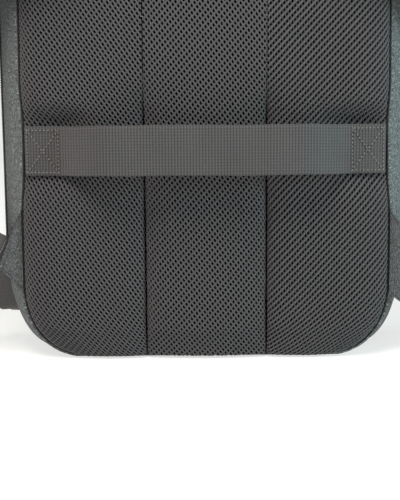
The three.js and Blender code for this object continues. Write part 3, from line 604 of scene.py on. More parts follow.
def padRise(x, z, s, outer):
    filled = smooth(190, 232, z) * (pad["filledAbove"] - pad["filledBelow"]) + pad["filledBelow"]
    bulge = np.sqrt(1 - np.abs(s) ** mix(pad["roundness"] - 2, pad["roundness"], smooth(185, 225, z)))
    innerSide = np.sign(x) * s < 0 if outer else True
    bulge = np.where(innerSide, np.maximum(bulge, mix(bulge, 1, filled)), bulge)
    outerEdge = (np.sign(x) * s + 1) / 2 if outer else 0
    floor = mix(pad["edgeRise"] + pad["channel"], pad["edgeRise"], outerEdge)
    below = clamp((z - back["low"]) / pad["shoulder"])
    above = clamp((pad["top"] - z) / pad["topFall"])
    ends = np.sqrt(below) * above * (2 - above)
    dent = 0.8 * bell(z - luggage["height"], luggage["width"] * 0.72)
    dent = 1 - dent * smooth(0.28, 0.4, np.abs(x) / pad["width"])
    fromHollow = ((z - padHollow["up"]) / padHollow["high"]) ** 2
    fromHollow = fromHollow + ((np.abs(x) - padHollow["out"]) / padHollow["wide"]) ** 2
    hollow = padHollow["depth"] * np.exp(-fromHollow)
    return pad["edgeRise"] + (floor - pad["edgeRise"]) * ends + pad["rise"] * bulge * ends * dent - hollow


def outerPadRise(x, z):  # the same by place alone, for what lies on the outer pads
    half = (panelReach(z) - halfChannel) / 2
    s = np.clip((np.abs(x) - halfChannel - half) / half, -1, 1)
    return padRise(np.abs(x), z, s, True)


def padGrid(side, sink=0.0, narrow=0.0, rows=None, columns=None):  # side is -1, 0 or 1
    rows, columns = rows or padDetail["rows"], columns or padDetail["columns"]
    t = np.linspace(0, 1, rows)
    t = t - 0.09 * np.sin(2 * math.pi * t)  # closer together at both ends
    z = mix(back["low"], pad["top"], t)[:, None] * np.ones((1, columns))
    s = np.sin(np.linspace(-1, 1, columns) * math.pi / 2)[None]
    s = np.sign(s) * np.abs(s) ** 0.8 * np.ones_like(z)
    half = (panelReach(z) - halfChannel) / 2 if side else halfChannel
    middle = side * (halfChannel + half)
    atSeam = (side * s <= 0) * smooth(0, 0.5, np.abs(s)) * (1 - smooth(180, 215, z))
    x = middle + s * (half - narrow - atSeam * padDetail["seamGap"])
    rise = padRise(x, z, s, side != 0)
    inner = 1 - np.abs(s) ** 6
    rise = rise + padDetail["waveHeight"] * waves(x, z, padDetail["wave"], 5) * inner
    nearSeam = np.exp(-(((1 - np.abs(s)) * half / 7) ** 2))
    rise = rise + padDetail["puckerHeight"] * nearSeam * waves(z, x * 0 + side * 40, padDetail["pucker"], 8)
    corner = smooth(0.5, 1, np.abs(x) / (pad["width"] / 2))
    droop = pad["droop"] * (1 - corner) * (1 - smooth(0, pad["shoulder"], z - back["low"]))
    y = body["backY"] - rise
    drop = droop * smooth(0, pad["rise"] / 2, rise - pad["edgeRise"])
    points = np.stack([x, y, np.maximum(z - drop, 1.8)], -1)
    if sink:
        points = points - gridNormals(points, (0, 100, 200)) * sink
    return points


# One stitch of the knit, from the ridge round it to the wall of its hole. Neighbours share its outer points.
knitCell = {
    "column": 2.03, "rise": 5.3, "drop": 3.15, "holeAcross": 1.72, "holeUp": 2.85, "lean": 0.25,
    "ridge": 0.34, "cross": 0.04, "corner": 0.16, "lip": -0.2, "depth": -1.5, "narrowing": 0.9,
    "skin": 1.7, "jitter": 0.55, "jitterSize": 3.2,
}


def knitTile(name, ridge, cross, lean):
    cell = knitCell
    a = np.array([cell["column"], cell["rise"] - cell["drop"]])  # to the next column, a hole higher
    b = np.array([cell["column"], -cell["drop"]])
    border = [(a + b) / 2, a / 2, (a - b) / 2, -b / 2, -(a + b) / 2, -a / 2, (b - a) / 2, b / 2]
    half = np.array([cell["holeAcross"], cell["holeUp"]]) / 2
    points = []
    heights = [cell["corner"], ridge, cell["corner"], cross] * 2
    for p, height in zip(border, heights):
        points.append((*p, height))
    for scale, height in ((1, cell["lip"]), (cell["narrowing"], cell["depth"])):
        for p in border:
            angle = math.atan2(p[1] / half[1], p[0] / half[0])
            x, y = half[0] * scale * math.cos(angle), half[1] * scale * math.sin(angle)
            points.append((x - lean * y, y, height))
    faces = [(r * 8 + k, r * 8 + (k + 1) % 8, r * 8 + 8 + (k + 1) % 8, r * 8 + 8 + k)
             for r in (0, 1) for k in range(8)]
    mesh = bpy.data.meshes.new(name)
    mesh.from_pydata([tuple(v * mm for v in p) for p in points], [], faces)
    # painted highlight: the higher ridge of each tile gets the lighter colour; the lips and hole walls below
    # get painted shade, down to black
    bright = [0.5 + 0.4 * (height - cell["cross"]) / (cell["ridge"] - cell["cross"])
              for height in (ridge, cross)]
    paintedLightAndShade = [0.6, bright[0], 0.6, bright[1]] * 2 + [0.36] * 8 + [0.0] * 8
    mesh.attributes.new("paintedLightAndShade", "FLOAT", "POINT").data.foreach_set("value", paintedLightAndShade)
    tile = bpy.data.objects.new(name, mesh)
    scene.collection.objects.link(tile)
    return tile


def newTree(name, inputs):
    # a Geometry Nodes tree with named inputs; returns it, its group input and their identifiers
    tree = bpy.data.node_groups.new(name, "GeometryNodeTree")
    tree.interface.new_socket("Geometry", in_out="INPUT", socket_type="NodeSocketGeometry")
    tree.interface.new_socket("Geometry", in_out="OUTPUT", socket_type="NodeSocketGeometry")
    named = {}
    for label, kind in inputs:
        named[label] = tree.interface.new_socket(label, in_out="INPUT", socket_type=kind).identifier
    return tree, addNode(tree, "NodeGroupInput"), named


def grow(source, name, tree, named, values):
    # runs a tree on an object and keeps the result as a plain mesh
    modifier = source.modifiers.new(name, "NODES")
    modifier.node_group = tree
    for label, value in values.items():
        modifier[named[label]] = value
    bpy.context.view_layer.update()
    graph = bpy.context.evaluated_depsgraph_get()
    mesh = bpy.data.meshes.new_from_object(source.evaluated_get(graph))
    mesh.name = name
    source.modifiers.remove(modifier)
    piece = bpy.data.objects.new(name, mesh)
    scene.collection.objects.link(piece)
    return piece


def knitTree():
    floatKind, intKind = "NodeSocketFloat", "NodeSocketInt"
    tree, given, named = newTree("knitted mesh", [
        ("Tile", "NodeSocketObject"), ("Column", floatKind), ("Rise", floatKind), ("Drop", floatKind),
        ("Columns", intKind), ("Rows", intKind), ("Jitter", floatKind), ("Jitter Size", floatKind),
        ("Material", "NodeSocketMaterial"),
    ])
    given = given.outputs
    # flat lattice of places: columns side by side, each one lower than the last by the drop
    wide = maths(tree, "MULTIPLY", given["Column"], maths(tree, "SUBTRACT", given["Columns"], 1.0))
    high = maths(tree, "MULTIPLY", given["Rise"], maths(tree, "SUBTRACT", given["Rows"], 1.0))
    lattice = addNode(tree, "GeometryNodeMeshGrid", None, {
        "Size X": wide, "Size Y": high, "Vertices X": given["Columns"], "Vertices Y": given["Rows"]})
    here = addNode(tree, "ShaderNodeSeparateXYZ", None, {0: addNode(tree, "GeometryNodeInputPosition")})
    number = maths(tree, "ROUND", maths(tree, "DIVIDE", here.outputs["X"], given["Column"]))
    dropped = maths(tree, "FLOORED_MODULO", maths(tree, "MULTIPLY", number, given["Drop"]), given["Rise"])
    down = maths(tree, "MULTIPLY", dropped, -1.0)
    places = addNode(tree, "GeometryNodeSetPosition", None, {
        "Geometry": lattice.outputs["Mesh"],
        "Offset": addNode(tree, "ShaderNodeCombineXYZ", None, {"Y": down})})
    tile = addNode(tree, "GeometryNodeObjectInfo", None, {"Object": given["Tile"]})
    stamped = addNode(tree, "GeometryNodeInstanceOnPoints", None,
        {"Points": places, "Instance": tile.outputs["Geometry"]})
    flat = addNode(tree, "GeometryNodeMergeByDistance", None, {
        "Geometry": addNode(tree, "GeometryNodeRealizeInstances", None, {"Geometry": stamped}),
        "Distance": 0.00003})
    # the flat knit is laid on the pad by its flat measure
    cutUv = addNode(tree, "GeometryNodeInputNamedAttribute", {"data_type": "FLOAT_VECTOR"}, {"Name": "cut"})
    outward = addNode(
        tree, "GeometryNodeInputNamedAttribute", {"data_type": "FLOAT_VECTOR"}, {"Name": "outward"})
    at = addNode(tree, "GeometryNodeInputPosition")
    found = []
    for value in (addNode(tree, "GeometryNodeInputPosition"), outward):
        found.append(addNode(tree, "GeometryNodeSampleUVSurface", {"data_type": "FLOAT_VECTOR"}, {
            "Mesh": given["Geometry"], "Value": value, 2: cutUv, 3: at}))
    outside = addNode(tree, "FunctionNodeBooleanMath", {"operation": "NOT"},
        {0: found[0].outputs["Is Valid"]})
    kept = addNode(tree, "GeometryNodeDeleteGeometry", {"domain": "POINT"},
        {"Geometry": flat, "Selection": outside})
    lifted = addNode(tree, "ShaderNodeVectorMath", {"operation": "SCALE"}, {
        0: found[1].outputs["Value"],
        "Scale": addNode(tree, "ShaderNodeSeparateXYZ", None, {0: at}).outputs["Z"]})
    laid = addNode(tree, "GeometryNodeSetPosition", None, {
        "Geometry": kept,
        "Position": addNode(tree, "ShaderNodeVectorMath", {"operation": "ADD"},
                            {0: found[0].outputs["Value"], 1: lifted.outputs["Vector"]})})
    # yarns are never quite even
    spread = addNode(tree, "ShaderNodeVectorMath", {"operation": "DIVIDE"}, {
        0: addNode(tree, "GeometryNodeInputPosition"), 1: given["Jitter Size"]})
    noise = noiseOf(tree, spread, 1.0)
    centred = addNode(tree, "ShaderNodeVectorMath", {"operation": "SUBTRACT"},
        {0: noise.outputs["Color"], 1: (0.5, 0.5, 0.5)})
    moved = addNode(tree, "ShaderNodeVectorMath", {"operation": "SCALE"},
        {0: centred, "Scale": given["Jitter"]})
    uneven = addNode(tree, "GeometryNodeSetPosition", None,
        {"Geometry": laid, "Offset": moved.outputs["Vector"]})
    smoothed = addNode(tree, "GeometryNodeSetShadeSmooth", None, {"Geometry": uneven})
    real = addNode(tree, "GeometryNodeRealizeInstances", None, {"Geometry": smoothed})
    dressed = addNode(tree, "GeometryNodeSetMaterial", None,
        {"Geometry": real, "Material": given["Material"]})
    addNode(tree, "NodeGroupOutput", None, {"Geometry": dressed})
    return tree, named


def knitOver(name, points, normals, tile, finish):  # lays the knit over a grid of points
    surface = openGrid(name + "Surface", points, finish)
    data = surface.data.attributes.new("outward", "FLOAT_VECTOR", "POINT")
    data.data.foreach_set("vector", normals.reshape(-1, 3).ravel())
    cut = gridLengths(points)
    cell = knitCell
    wide = np.abs(cut[..., 0]).max() * 2
    high = np.abs(cut[..., 1]).max() * 2
    piece = grow(surface, name, *knitNodes, {
        "Tile": tile, "Column": cell["column"] * mm, "Rise": cell["rise"] * mm, "Drop": cell["drop"] * mm,
        "Columns": 2 * int(wide / cell["column"] / 2 + 1) + 1,
        "Rows": 2 * int(high / cell["rise"] / 2 + 2) + 1,
        "Jitter": cell["jitter"] * mm, "Jitter Size": cell["jitterSize"] * mm, "Material": finish,
    })
    bpy.data.objects.remove(surface)
    return piece


def openGrid(name, points, finish):  # an open sheet of quads with its flat measure
    rows, columns = points.shape[:2]
    i, j = np.meshgrid(np.arange(rows - 1), np.arange(columns - 1), indexing="ij")
    faces = np.stack(
        [i * columns + j, (i + 1) * columns + j, (i + 1) * columns + j + 1, i * columns + j + 1], -1)
    faces = list(faces.reshape(-1, 4))
    return makePiece(name, points.reshape(-1, 3), faces, gridLengths(points).reshape(-1, 2), faces, finish)


knitTiles = {
    -1: knitTile("knitTileLeft", knitCell["ridge"], knitCell["cross"], knitCell["lean"]),
    0: knitTile("knitTileMiddle", knitCell["ridge"] * 0.9, knitCell["ridge"] * 0.55, knitCell["lean"] / 2),
    1: knitTile("knitTileRight", knitCell["cross"], knitCell["ridge"], -knitCell["lean"]),
}
knitNodes = knitTree()


def makeBackPanel():
    for side, name in ((-1, "backPadLeft"), (0, "backPadMiddle"), (1, "backPadRight")):
        surface = padGrid(side, sink=knitCell["ridge"], narrow=-0.5)
        piece = knitOver(name, surface, gridNormals(surface, surface.mean((0, 1)) + (0, 200, 0)),
            knitTiles[side], knitYarn)
        front = padGrid(side, sink=knitCell["skin"] + 0.2, narrow=0.3)
        behind = front.copy()
        behind[..., 1] = body["backY"] + 0.2
        rings = np.concatenate([front, behind[:, ::-1]], axis=1)
        cut = gridLengths(front)
        lining = loft(name + "Foam", rings, roundCut(cut), shadedFoamLining)
        settle(piece, "spacer_mesh", "back_panel", fill=0.7)
        settle(lining, "spacer_mesh")
        print(name, len(piece.data.polygons), "faces")


makeBackPanel()
print("back panel ready")


def luggageBow(x):
    return 1 - smooth(luggage["slot"] / 2 - 8, pad["width"] / 2 - luggage["sewn"] + 1, np.abs(x))


def luggageDepth(x):  # how far behind the back seam the strap's inner face lies
    near = [outerPadRise(x + dx, luggage["height"] + up * luggage["width"])
            for dx in (-4, 0, 4) for up in (-0.6, -0.3, 0, 0.3, 0.6)]
    sewn = np.max(near, axis=0) - body["seamGap"]
    crown = 2 * np.maximum(0, 1 - (x / (luggage["slot"] / 2)) ** 2)
    bowed = pad["rise"] + pad["channel"] + pad["edgeRise"] + luggage["standOff"] + crown
    return mix(sewn, bowed, luggageBow(x))


strapLook = {"rib": 2.3, "ribHeight": 0.4, "perRib": 5, "across": 16, "edge": 1.1}


def luggagePoint(x, up, out):  # a place on the strap: across the bag, up its width, and off its middle layer
    slope = (luggageDepth(x + 0.5) - luggageDepth(x - 0.5))
    normal = unit(np.stack([-slope, -np.ones_like(x), 0 * x], -1))
    z = luggage["height"] + luggage["lift"] * luggageBow(x) + up
    y = body["backY"] - luggageDepth(x) - luggage["wall"] / 2
    return np.stack(np.broadcast_arrays(x, y, z), -1) + normal * np.asarray(out)[..., None]


def makeLuggageStrap():
    reach = pad["width"] / 2 - 3.2
    ribs = int(2 * reach / strapLook["rib"])
    x = np.linspace(-reach, reach, ribs * strapLook["perRib"] + 1)[:, None]
    half = luggage["width"] / 2
    up = np.sin(np.linspace(-1, 1, strapLook["across"] + 1) * math.pi / 2)[None] * half
    wave = np.abs(np.sin(math.pi * (x + reach) / (2 * reach) * ribs)) ** 0.7
    sewn = 1 - luggageBow(x)
    edge = smooth(half, half - strapLook["edge"], np.abs(up))
    thick = luggage["wall"] / 2
    front = (thick - strapLook["ribHeight"] * (1 - wave)) * (0.55 + 0.45 * edge)
    up = up + 0.25 * waves(x, 0 * x, 30, 21) + 0 * x
    front = front + 0.35 * sewn * waves(x, up, 9, 23) * smooth(half, half - 4, np.abs(up))
    points = luggagePoint(x + 0 * up, up, front)
    behind = luggagePoint(x + 0 * up, up, -thick * (0.55 + 0.45 * edge) + 0 * x)
    run = (x + reach) / (2 * reach) * ribs * strapLook["rib"] + 0 * up
    cut = np.stack([run, up + half], -1)
    rings = np.concatenate([points, behind[:, ::-1]], axis=1)
    full = roundCut(cut)
    return settle(loft("luggageStrap", rings, full, webbing), "webbing", "luggage_strap")


makeLuggageStrap()
print("luggage strap ready")


# Rows of small repeated things: stitches and zip teeth
def stampShape(name, lengthwise, halves=((0.0, 0.0, 1.0),)):
    # lenses one unit long, wide and high, a little sunk.
    # Each half has its shift ahead, its shift aside and its width
    points, faces = [], []
    for ahead, aside, size in halves:
        first = len(points)
        for at, wide in ((-0.5, 0.4), (-0.3, 1.0), (0.3, 1.0), (0.5, 0.4)):
            for k in range(6):
                turn = k * math.pi / 3
                reach, thick, high = at, 0.5 * wide * math.cos(turn), 0.25 + 0.5 * wide * math.sin(turn)
                x, y = (reach, thick) if lengthwise else (-thick, reach * size)
                points.append((x + ahead, y + aside, high))
        for i in range(3):
            for k in range(6):
                a, b = first + i * 6 + k, first + i * 6 + (k + 1) % 6
                faces.append((a, b, b + 6, a + 6))
        faces.append([first + k for k in range(5, -1, -1)])
        faces.append([first + 18 + k for k in range(6)])
    mesh = bpy.data.meshes.new(name)
    mesh.from_pydata(points, [], faces)
    stamp = bpy.data.objects.new(name, mesh)
    scene.collection.objects.link(stamp)
    return stamp


def stampTree():
    floatKind = "NodeSocketFloat"
    tree, given, named = newTree("row of stamps", [
        ("Stamp", "NodeSocketObject"), ("Pitch", floatKind), ("Length", floatKind), ("Width", floatKind),
        ("Height", floatKind), ("Unevenness", floatKind), ("Seed", "NodeSocketInt"),
        ("Material", "NodeSocketMaterial"),
    ])
    given = given.outputs
    line = addNode(tree, "GeometryNodeMeshToCurve", None, {"Mesh": given["Geometry"]})
    spaced = addNode(tree, "GeometryNodeResampleCurve", {"mode": "LENGTH"},
        {"Curve": line, "Length": given["Pitch"]})
    outward = addNode(
        tree, "GeometryNodeInputNamedAttribute", {"data_type": "FLOAT_VECTOR"}, {"Name": "outward"})
    turn = addNode(tree, "FunctionNodeAxesToRotation", {"primary_axis": "Z", "secondary_axis": "X"}, {
        "Primary Axis": outward, "Secondary Axis": addNode(tree, "GeometryNodeInputTangent")})
    least = maths(tree, "MULTIPLY", given["Unevenness"], -1.0)
    askew = addNode(tree, "FunctionNodeRandomValue", {"data_type": "FLOAT"}, {
        2: least, 3: given["Unevenness"], "Seed": given["Seed"]})
    tilt = addNode(tree, "FunctionNodeRotateRotation", {"rotation_space": "LOCAL"}, {
        0: turn, 1: addNode(tree, "ShaderNodeCombineXYZ", None, {"Z": askew.outputs[1]})})
    size = addNode(tree, "ShaderNodeCombineXYZ", None,
                   {"X": given["Length"], "Y": given["Width"], "Z": given["Height"]})
    stamp = addNode(tree, "GeometryNodeObjectInfo", None, {"Object": given["Stamp"]})
    placed = addNode(tree, "GeometryNodeInstanceOnPoints", None, {
        "Points": spaced, "Instance": stamp.outputs["Geometry"], "Rotation": tilt.outputs[0], "Scale": size})
    smoothed = addNode(tree, "GeometryNodeSetShadeSmooth", None, {
        "Geometry": addNode(tree, "GeometryNodeRealizeInstances", None, {"Geometry": placed})})
    addNode(tree, "NodeGroupOutput", None, {"Geometry": addNode(
        tree, "GeometryNodeSetMaterial", None, {"Geometry": smoothed, "Material": given["Material"]})})
    return tree, named


stampNodes = stampTree()
stitchStamp = stampShape("stitchStamp", True)
toothStamp = stampShape("toothStamp", False, ((0.0, -0.24, 0.58), (0.72, 0.24, 0.58)))
stitch = {"Pitch": 3.2, "Length": 2.5, "Width": 0.55, "Height": 0.5, "Unevenness": 0.09}
barTack = {"Pitch": 1.15, "Length": 0.75, "Width": 4.2, "Height": 0.9, "Unevenness": 0.12}
mainTooth = {"Pitch": 1.95, "Length": 1.35, "Width": 4.6, "Height": 1.5, "Unevenness": 0.03}
frontTooth = {"Pitch": 1.7, "Length": 1.2, "Width": 3.9, "Height": 1.3, "Unevenness": 0.03}


def stampRows(name, stamp, look, finish, slot, lines):  # each line: its points and the way out at each
    edges, first = [], 0
    for line, out in lines:
        edges += [(first + k, first + k + 1) for k in range(len(line) - 1)]
        first += len(line)
    mesh = bpy.data.meshes.new(name + "Path")
    mesh.from_pydata((np.concatenate([line for line, out in lines]) * mm).tolist(), edges, [])
    data = mesh.attributes.new("outward", "FLOAT_VECTOR", "POINT")
    data.data.foreach_set("vector", np.concatenate([out for line, out in lines]).ravel())
    source = bpy.data.objects.new(name + "Path", mesh)
    scene.collection.objects.link(source)
    sizes = {key: value if key == "Unevenness" else value * mm for key, value in look.items()}
    piece = grow(source, name, *stampNodes, {"Stamp": stamp, **sizes, "Seed": 3, "Material": finish})
    bpy.data.objects.remove(source)
    return settle(piece, slot)


def seamLine(points, normals, inset, lift=0.0):
    # a line that far inside a grid's first row, or its last where negative
    run = np.linalg.norm(np.diff(points, axis=0), axis=-1).cumsum(0)
    run = np.vstack([np.zeros((1, points.shape[1])), run])
    at = np.where(inset > 0, inset, run[-1] + inset)
    columns = range(points.shape[1])
    line = np.array([[np.interp(at[j], run[:, j], points[:, j, k]) for k in range(3)] for j in columns])
    out = unit(np.array([[np.interp(at[j], run[:, j], normals[:, j, k]) for k in range(3)] for j in columns]))
    return line + out * lift, out


def turned(grid):
    return grid.transpose(1, 0, 2)


# Walls of the body: melange cloth that dips into its seams, puckers beside them and billows between them
bodyMiddle = (0, 0, 220)
wallLook = {
    "steps": 170, "seam": 1.0, "seamWidth": 2.4, "pucker": 6.5, "puckerHeight": 0.35, "billow": 1.0,
    "wave": 62,
    "waveHeight": 1.5, "crease": 19, "creaseHeight": 0.35, "stitchInset": 3.4, "liningWall": 2.6,
}
zipShares = (35.5 / 140, 45 / 140)
rearStart, frontEnd, gapShare = 1.1 / 140, 1 - 0.5 / 140, 0.4 / 140


def drape(points, outFrom, seed, strength=1.0, ends=False):
    normals = gridNormals(points, outFrom)
    lengths = gridLengths(points)
    a, b = lengths[..., 0], lengths[..., 1]
    half = b.max()
    edge = half - np.abs(b)
    if ends:
        edge = np.minimum(edge, a.max(1, keepdims=True) - np.abs(a))
    look = wallLook
    rise = look["billow"] * smooth(0, 0.8, edge / half)
    rise = rise - look["seam"] * np.exp(-((edge / look["seamWidth"]) ** 2))
    rise = rise + look["puckerHeight"] * np.exp(-((edge / 8) ** 2)) * waves(a, b / 3, look["pucker"], seed)
    rise = rise + look["waveHeight"] * waves(a, b * 1.4, look["wave"], seed + 1) * smooth(0, 16, edge)
    creases = look["creaseHeight"] * waves(a + b * 0.6, b * 0.5, look["crease"], seed + 2)
    rise = rise + creases * smooth(0, 9, edge)
    return points + normals * (rise * strength)[..., None], normals


def wallGrid(fromShare, toShare, rows, rowOf, ease=1.0):
    shares = mix(fromShare, toShare, np.linspace(0, 1, rows) ** ease)
    return np.stack([rowOf(share, wallLook["steps"]) for share in shares])


def withLip(grid):  # the cloth rolls in over the binding at the back seam
    normals = gridNormals(grid, bodyMiddle)[0] * (1, 0, 1)
    inward = -unit(normals)
    rows = []
    for reach, y in ((1.7, 0.5), (1.5, -0.3), (0.9, -0.7)):
        row = grid[0] + inward * reach
        row[:, 1] = body["backY"] + y
        rows.append(row)
    return np.concatenate([np.stack(rows), grid[1:]])


def withFrontLip(grid):  # the seam's inner edge stands under the front panel's border
    normals = gridNormals(grid, bodyMiddle)[-1] * (1, 0, 1)
    rows = []
    for reach, forward in ((0.4, 0.3), (2.4, 0.7), (2.8, 3.2)):
        row = grid[-1] - unit(normals) * reach
        row[:, 1] += forward
        rows.append(row)
    return np.concatenate([grid, np.stack(rows)])


def makeWall(name, node, grid, seed, insets, strength=1.0, floor=False):
    points, normals = drape(grid, bodyMiddle, seed, strength)
    if floor:  # it rests on its flat base
        points[..., 2] = np.maximum(points[..., 2], 0.0)
    piece = cloth(name, points, wallLook["liningWall"], heatherCloth, normals=normals)
    if floor:
        for vertex in piece.data.vertices:
            vertex.co.z = max(vertex.co.z, 0.0)
    settle(piece, "heather_cloth", node)
    lines = [seamLine(points, normals, inset) for inset in insets]
    if lines:
        stampRows(name + "Stitches", stitchStamp, stitch, greyThread, "heather_cloth", lines)
    print(name, "ready")


rearRows = withLip(wallGrid(rearStart, zipShares[0] - gapShare, 18, archRow))
makeWall("rearGusset", "rear_gusset", rearRows, 31, (-wallLook["stitchInset"],), 0.6)
frontLip = 5.2  # the lip's length across, which its row of stitches keeps off
frontRows = withFrontLip(wallGrid(zipShares[1] + gapShare, frontEnd, 40, archRow))
frontInsets = (wallLook["stitchInset"], -wallLook["stitchInset"] - frontLip)
makeWall("frontGusset", "front_gusset", frontRows, 37, frontInsets)
baseRows = withFrontLip(withLip(wallGrid(rearStart, frontEnd, 56, troughRow, 1.5)))
makeWall("basePanel", "base_panel", baseRows, 43, frontInsets[1:], 0.6, floor=True)


# Main zip: woven tape round the sides and top, with its coil closed along the middle
zipLook = {"tapeSink": -0.7, "tapeWall": 1.6, "welt": 0.5, "frontSink": 0.7}


def makeMainZip():
    grid = wallGrid(*zipShares, 12, archRow)
    normals = gridNormals(grid, bodyMiddle)
    share = np.linspace(-1, 1, len(grid))[:, None]
    sink = zipLook["tapeSink"] - zipLook["welt"] * bell(np.abs(share) - 0.75, 0.16)
    tape = grid - normals * (sink + 0 * grid[..., 0])[..., None]
    settle(cloth("mainZipTape", tape, zipLook["tapeWall"], zipTape, normals=normals), "zip_tape", "main_zip")
    middle = seamLine(tape, normals, 4.75, 0.1)
    stampRows("mainZipCoil", toothStamp, mainTooth, zipNylon, "zip_tape", [middle])


makeMainZip()
print("main zip ready")


# Front: a shallow dome in two parts, with a zip between them
frontHigh, frontHalfZip = 268, 4.5


def frontPoint(share, z):
    section = sectionAt(1)
    middle = (section["low"] + section["top"]) / 2
    lift = 1 - np.abs((z - middle) / (section["top"] - middle)) ** 3.5
    rise = body["frontDome"] * np.maximum(0, lift) ** 0.6 * np.sqrt(1 - np.abs(share) ** 4)
    reach = halfWidthAt(section, z) - 0.2
    y = body["backY"] + depthAt(z) + body["wall"] + body["seamGap"] + rise
    return np.stack(np.broadcast_arrays(share * reach, y, z), -1)


def frontGrid(fromZ, toZ, rows, ease, columns=110):
    t = np.linspace(0, 1, rows)
    z = mix(fromZ, toZ, t ** ease) if ease >= 1 else mix(toZ, fromZ, (1 - t) ** (1 / ease))
    return frontPoint(np.sin(np.linspace(-1, 1, columns) * math.pi / 2)[None], z[:, None])


def makeFront():
    section = sectionAt(1)
    spans = {
        "frontLower": ("front_panel_lower", section["low"], frontHigh - frontHalfZip - 0.4, 1.9, 51, (-3.2,)),
        "frontUpper": ("front_panel_upper", frontHigh + frontHalfZip + 0.4, section["top"], 0.55, 57, (3.2,)),
    }
    for name, (node, low, high, ease, seed, insets) in spans.items():
        points, normals = drape(frontGrid(low, high, 90, ease), (0, 0, 220), seed, 1.1, ends=True)
        settle(cloth(name, points, wallLook["liningWall"], heatherCloth, normals=normals),
               "heather_cloth", node)
        lines = [tuple(v[4:-4] for v in seamLine(points, normals, inset)) for inset in insets]
        stampRows(name + "Stitches", stitchStamp, stitch, greyThread, "heather_cloth", lines)
    grid = frontGrid(frontHigh - frontHalfZip, frontHigh + frontHalfZip, 12, 1)
    normals = gridNormals(grid, (0, 0, 220))
    tape = grid - normals * zipLook["frontSink"]
    settle(cloth("frontZipTape", tape, zipLook["tapeWall"], zipTape, normals=normals),
           "zip_tape", "front_zip")
    middle = tuple(v[2:-2] for v in seamLine(tape, normals, frontHalfZip, 0.1))
    stampRows("frontZipCoil", toothStamp, frontTooth, zipNylon, "zip_tape", [middle])


makeFront()
print("front ready")


# Yoke band over the mesh's top edge, and the bound seam round the whole back
yoke = {"wall": 2, "bulge": 2.5, "lap": 3.4}
binding = {"radius": 1.0, "gap": 0.3, "rib": 1.1, "ribHeight": 0.1, "fuzz": 0.2, "steps": 900}


def makeYoke():
    z = np.linspace(pad["top"] + body["seamGap"], back["top"], 40)[:, None]
    share = np.linspace(-1, 1, 130)[None]
    bulge = yoke["bulge"] * (1 - share ** 4) * np.sin(math.pi * np.linspace(0, 1, 40)[:, None]).clip(0) ** 0.5
    y = body["backY"] - pad["edgeRise"] - 0.5 - bulge
    band = np.stack(np.broadcast_arrays(share * panelReach(z), y, z), -1)
    points, normals = drape(band, bodyMiddle, 61, 0.45)
    settle(cloth("yokeBand", points, yoke["wall"], heatherCloth, normals=normals),
           "heather_cloth", "yoke_band")
    lines = [seamLine(points, normals, inset) for inset in (yoke["lap"], 2 * yoke["lap"])]
    stampRows("yokeStitches", stitchStamp, stitch, greyThread, "heather_cloth", lines)


def makeBinding():
    half = evenly(halfOutline(back, 90), binding["steps"] // 2)
    line = np.vstack([half, half[-2:0:-1] * (-1, 1)])
    ahead = np.roll(line, -1, 0) - np.roll(line, 1, 0)
    out = unit(np.stack([ahead[:, 1], -ahead[:, 0]], -1))
    middle = line + out * (binding["radius"] + binding["gap"])
    x = middle[:, 0] - waistPull(line[:, 1], 0) * np.sign(line[:, 0])
    cord = np.stack([x, np.full(len(x), body["backY"] - binding["radius"] / 2), middle[:, 1]], -1)

    def rough(run, angle):
        ribs = binding["ribHeight"] * np.sin(2 * math.pi * run / binding["rib"] + 2 * angle)
        return ribs + binding["fuzz"] * waves(run, angle * 2, 1.7, 71)
    # the binding's near-black colour is partly its own and partly painted shade for the dark crevice between
    # the mesh pads and the melange walls and wings
    piece = tube("backBinding", cord, binding["radius"], bindingTapeAndSeamShade, 10, True, rough)
    settle(piece, "binding", "back_binding")


makeYoke()
makeBinding()
print("yoke and binding ready")


# Sewn ends of the luggage strap: a box with a cross, and a row along the strap's edge
sewnBox = {"inner": 112.4, "outer": 136.5, "halfUp": 16.2, "lift": 0.15}
boxStitch = {"Pitch": 3.0, "Length": 1.9, "Width": 0.85, "Height": 0.7, "Unevenness": 0.12}
needleHoleShade = {"Pitch": 3.0, "Length": 1.0, "Width": 0.9, "Height": 0.25, "Unevenness": 0.2}


def boxAndCross(a, b, h):
    return [(a, -h), (a, h), (b, h), (b, -h), (a, -h)], [(a, -h), (b, h)], [(a, h), (b, -h)]


def strapPath(corners, lift):
    line = evenly(np.array(corners, float), 90)
    flat, high = (luggagePoint(line[:, :1], line[:, 1:], np.full((len(line), 1), v))[:, 0] for v in (0, 1))
    out = unit(high - flat)
    return flat + out * (luggage["wall"] / 2 + lift), out


def makeBoxStitches():
    lines = []
    for side in (-1, 1):
        a, b, h = side * sewnBox["inner"], side * sewnBox["outer"], sewnBox["halfUp"]
        for corners in boxAndCross(a, b, h):
            lines.append(strapPath(corners, sewnBox["lift"]))
    stampRows("luggageStitches", stitchStamp, boxStitch, greyThread, "webbing", lines)
    # dark lenses half a pitch from each stitch: painted shade for the needle holes
    shifted = [(along(line, np.linspace(1.5, runOf(line)[-1], 90)), out) for line, out in lines]
    stampRows("luggageNeedleHoles", stitchStamp, needleHoleShade, darkThread, "webbing", shifted)


makeBoxStitches()


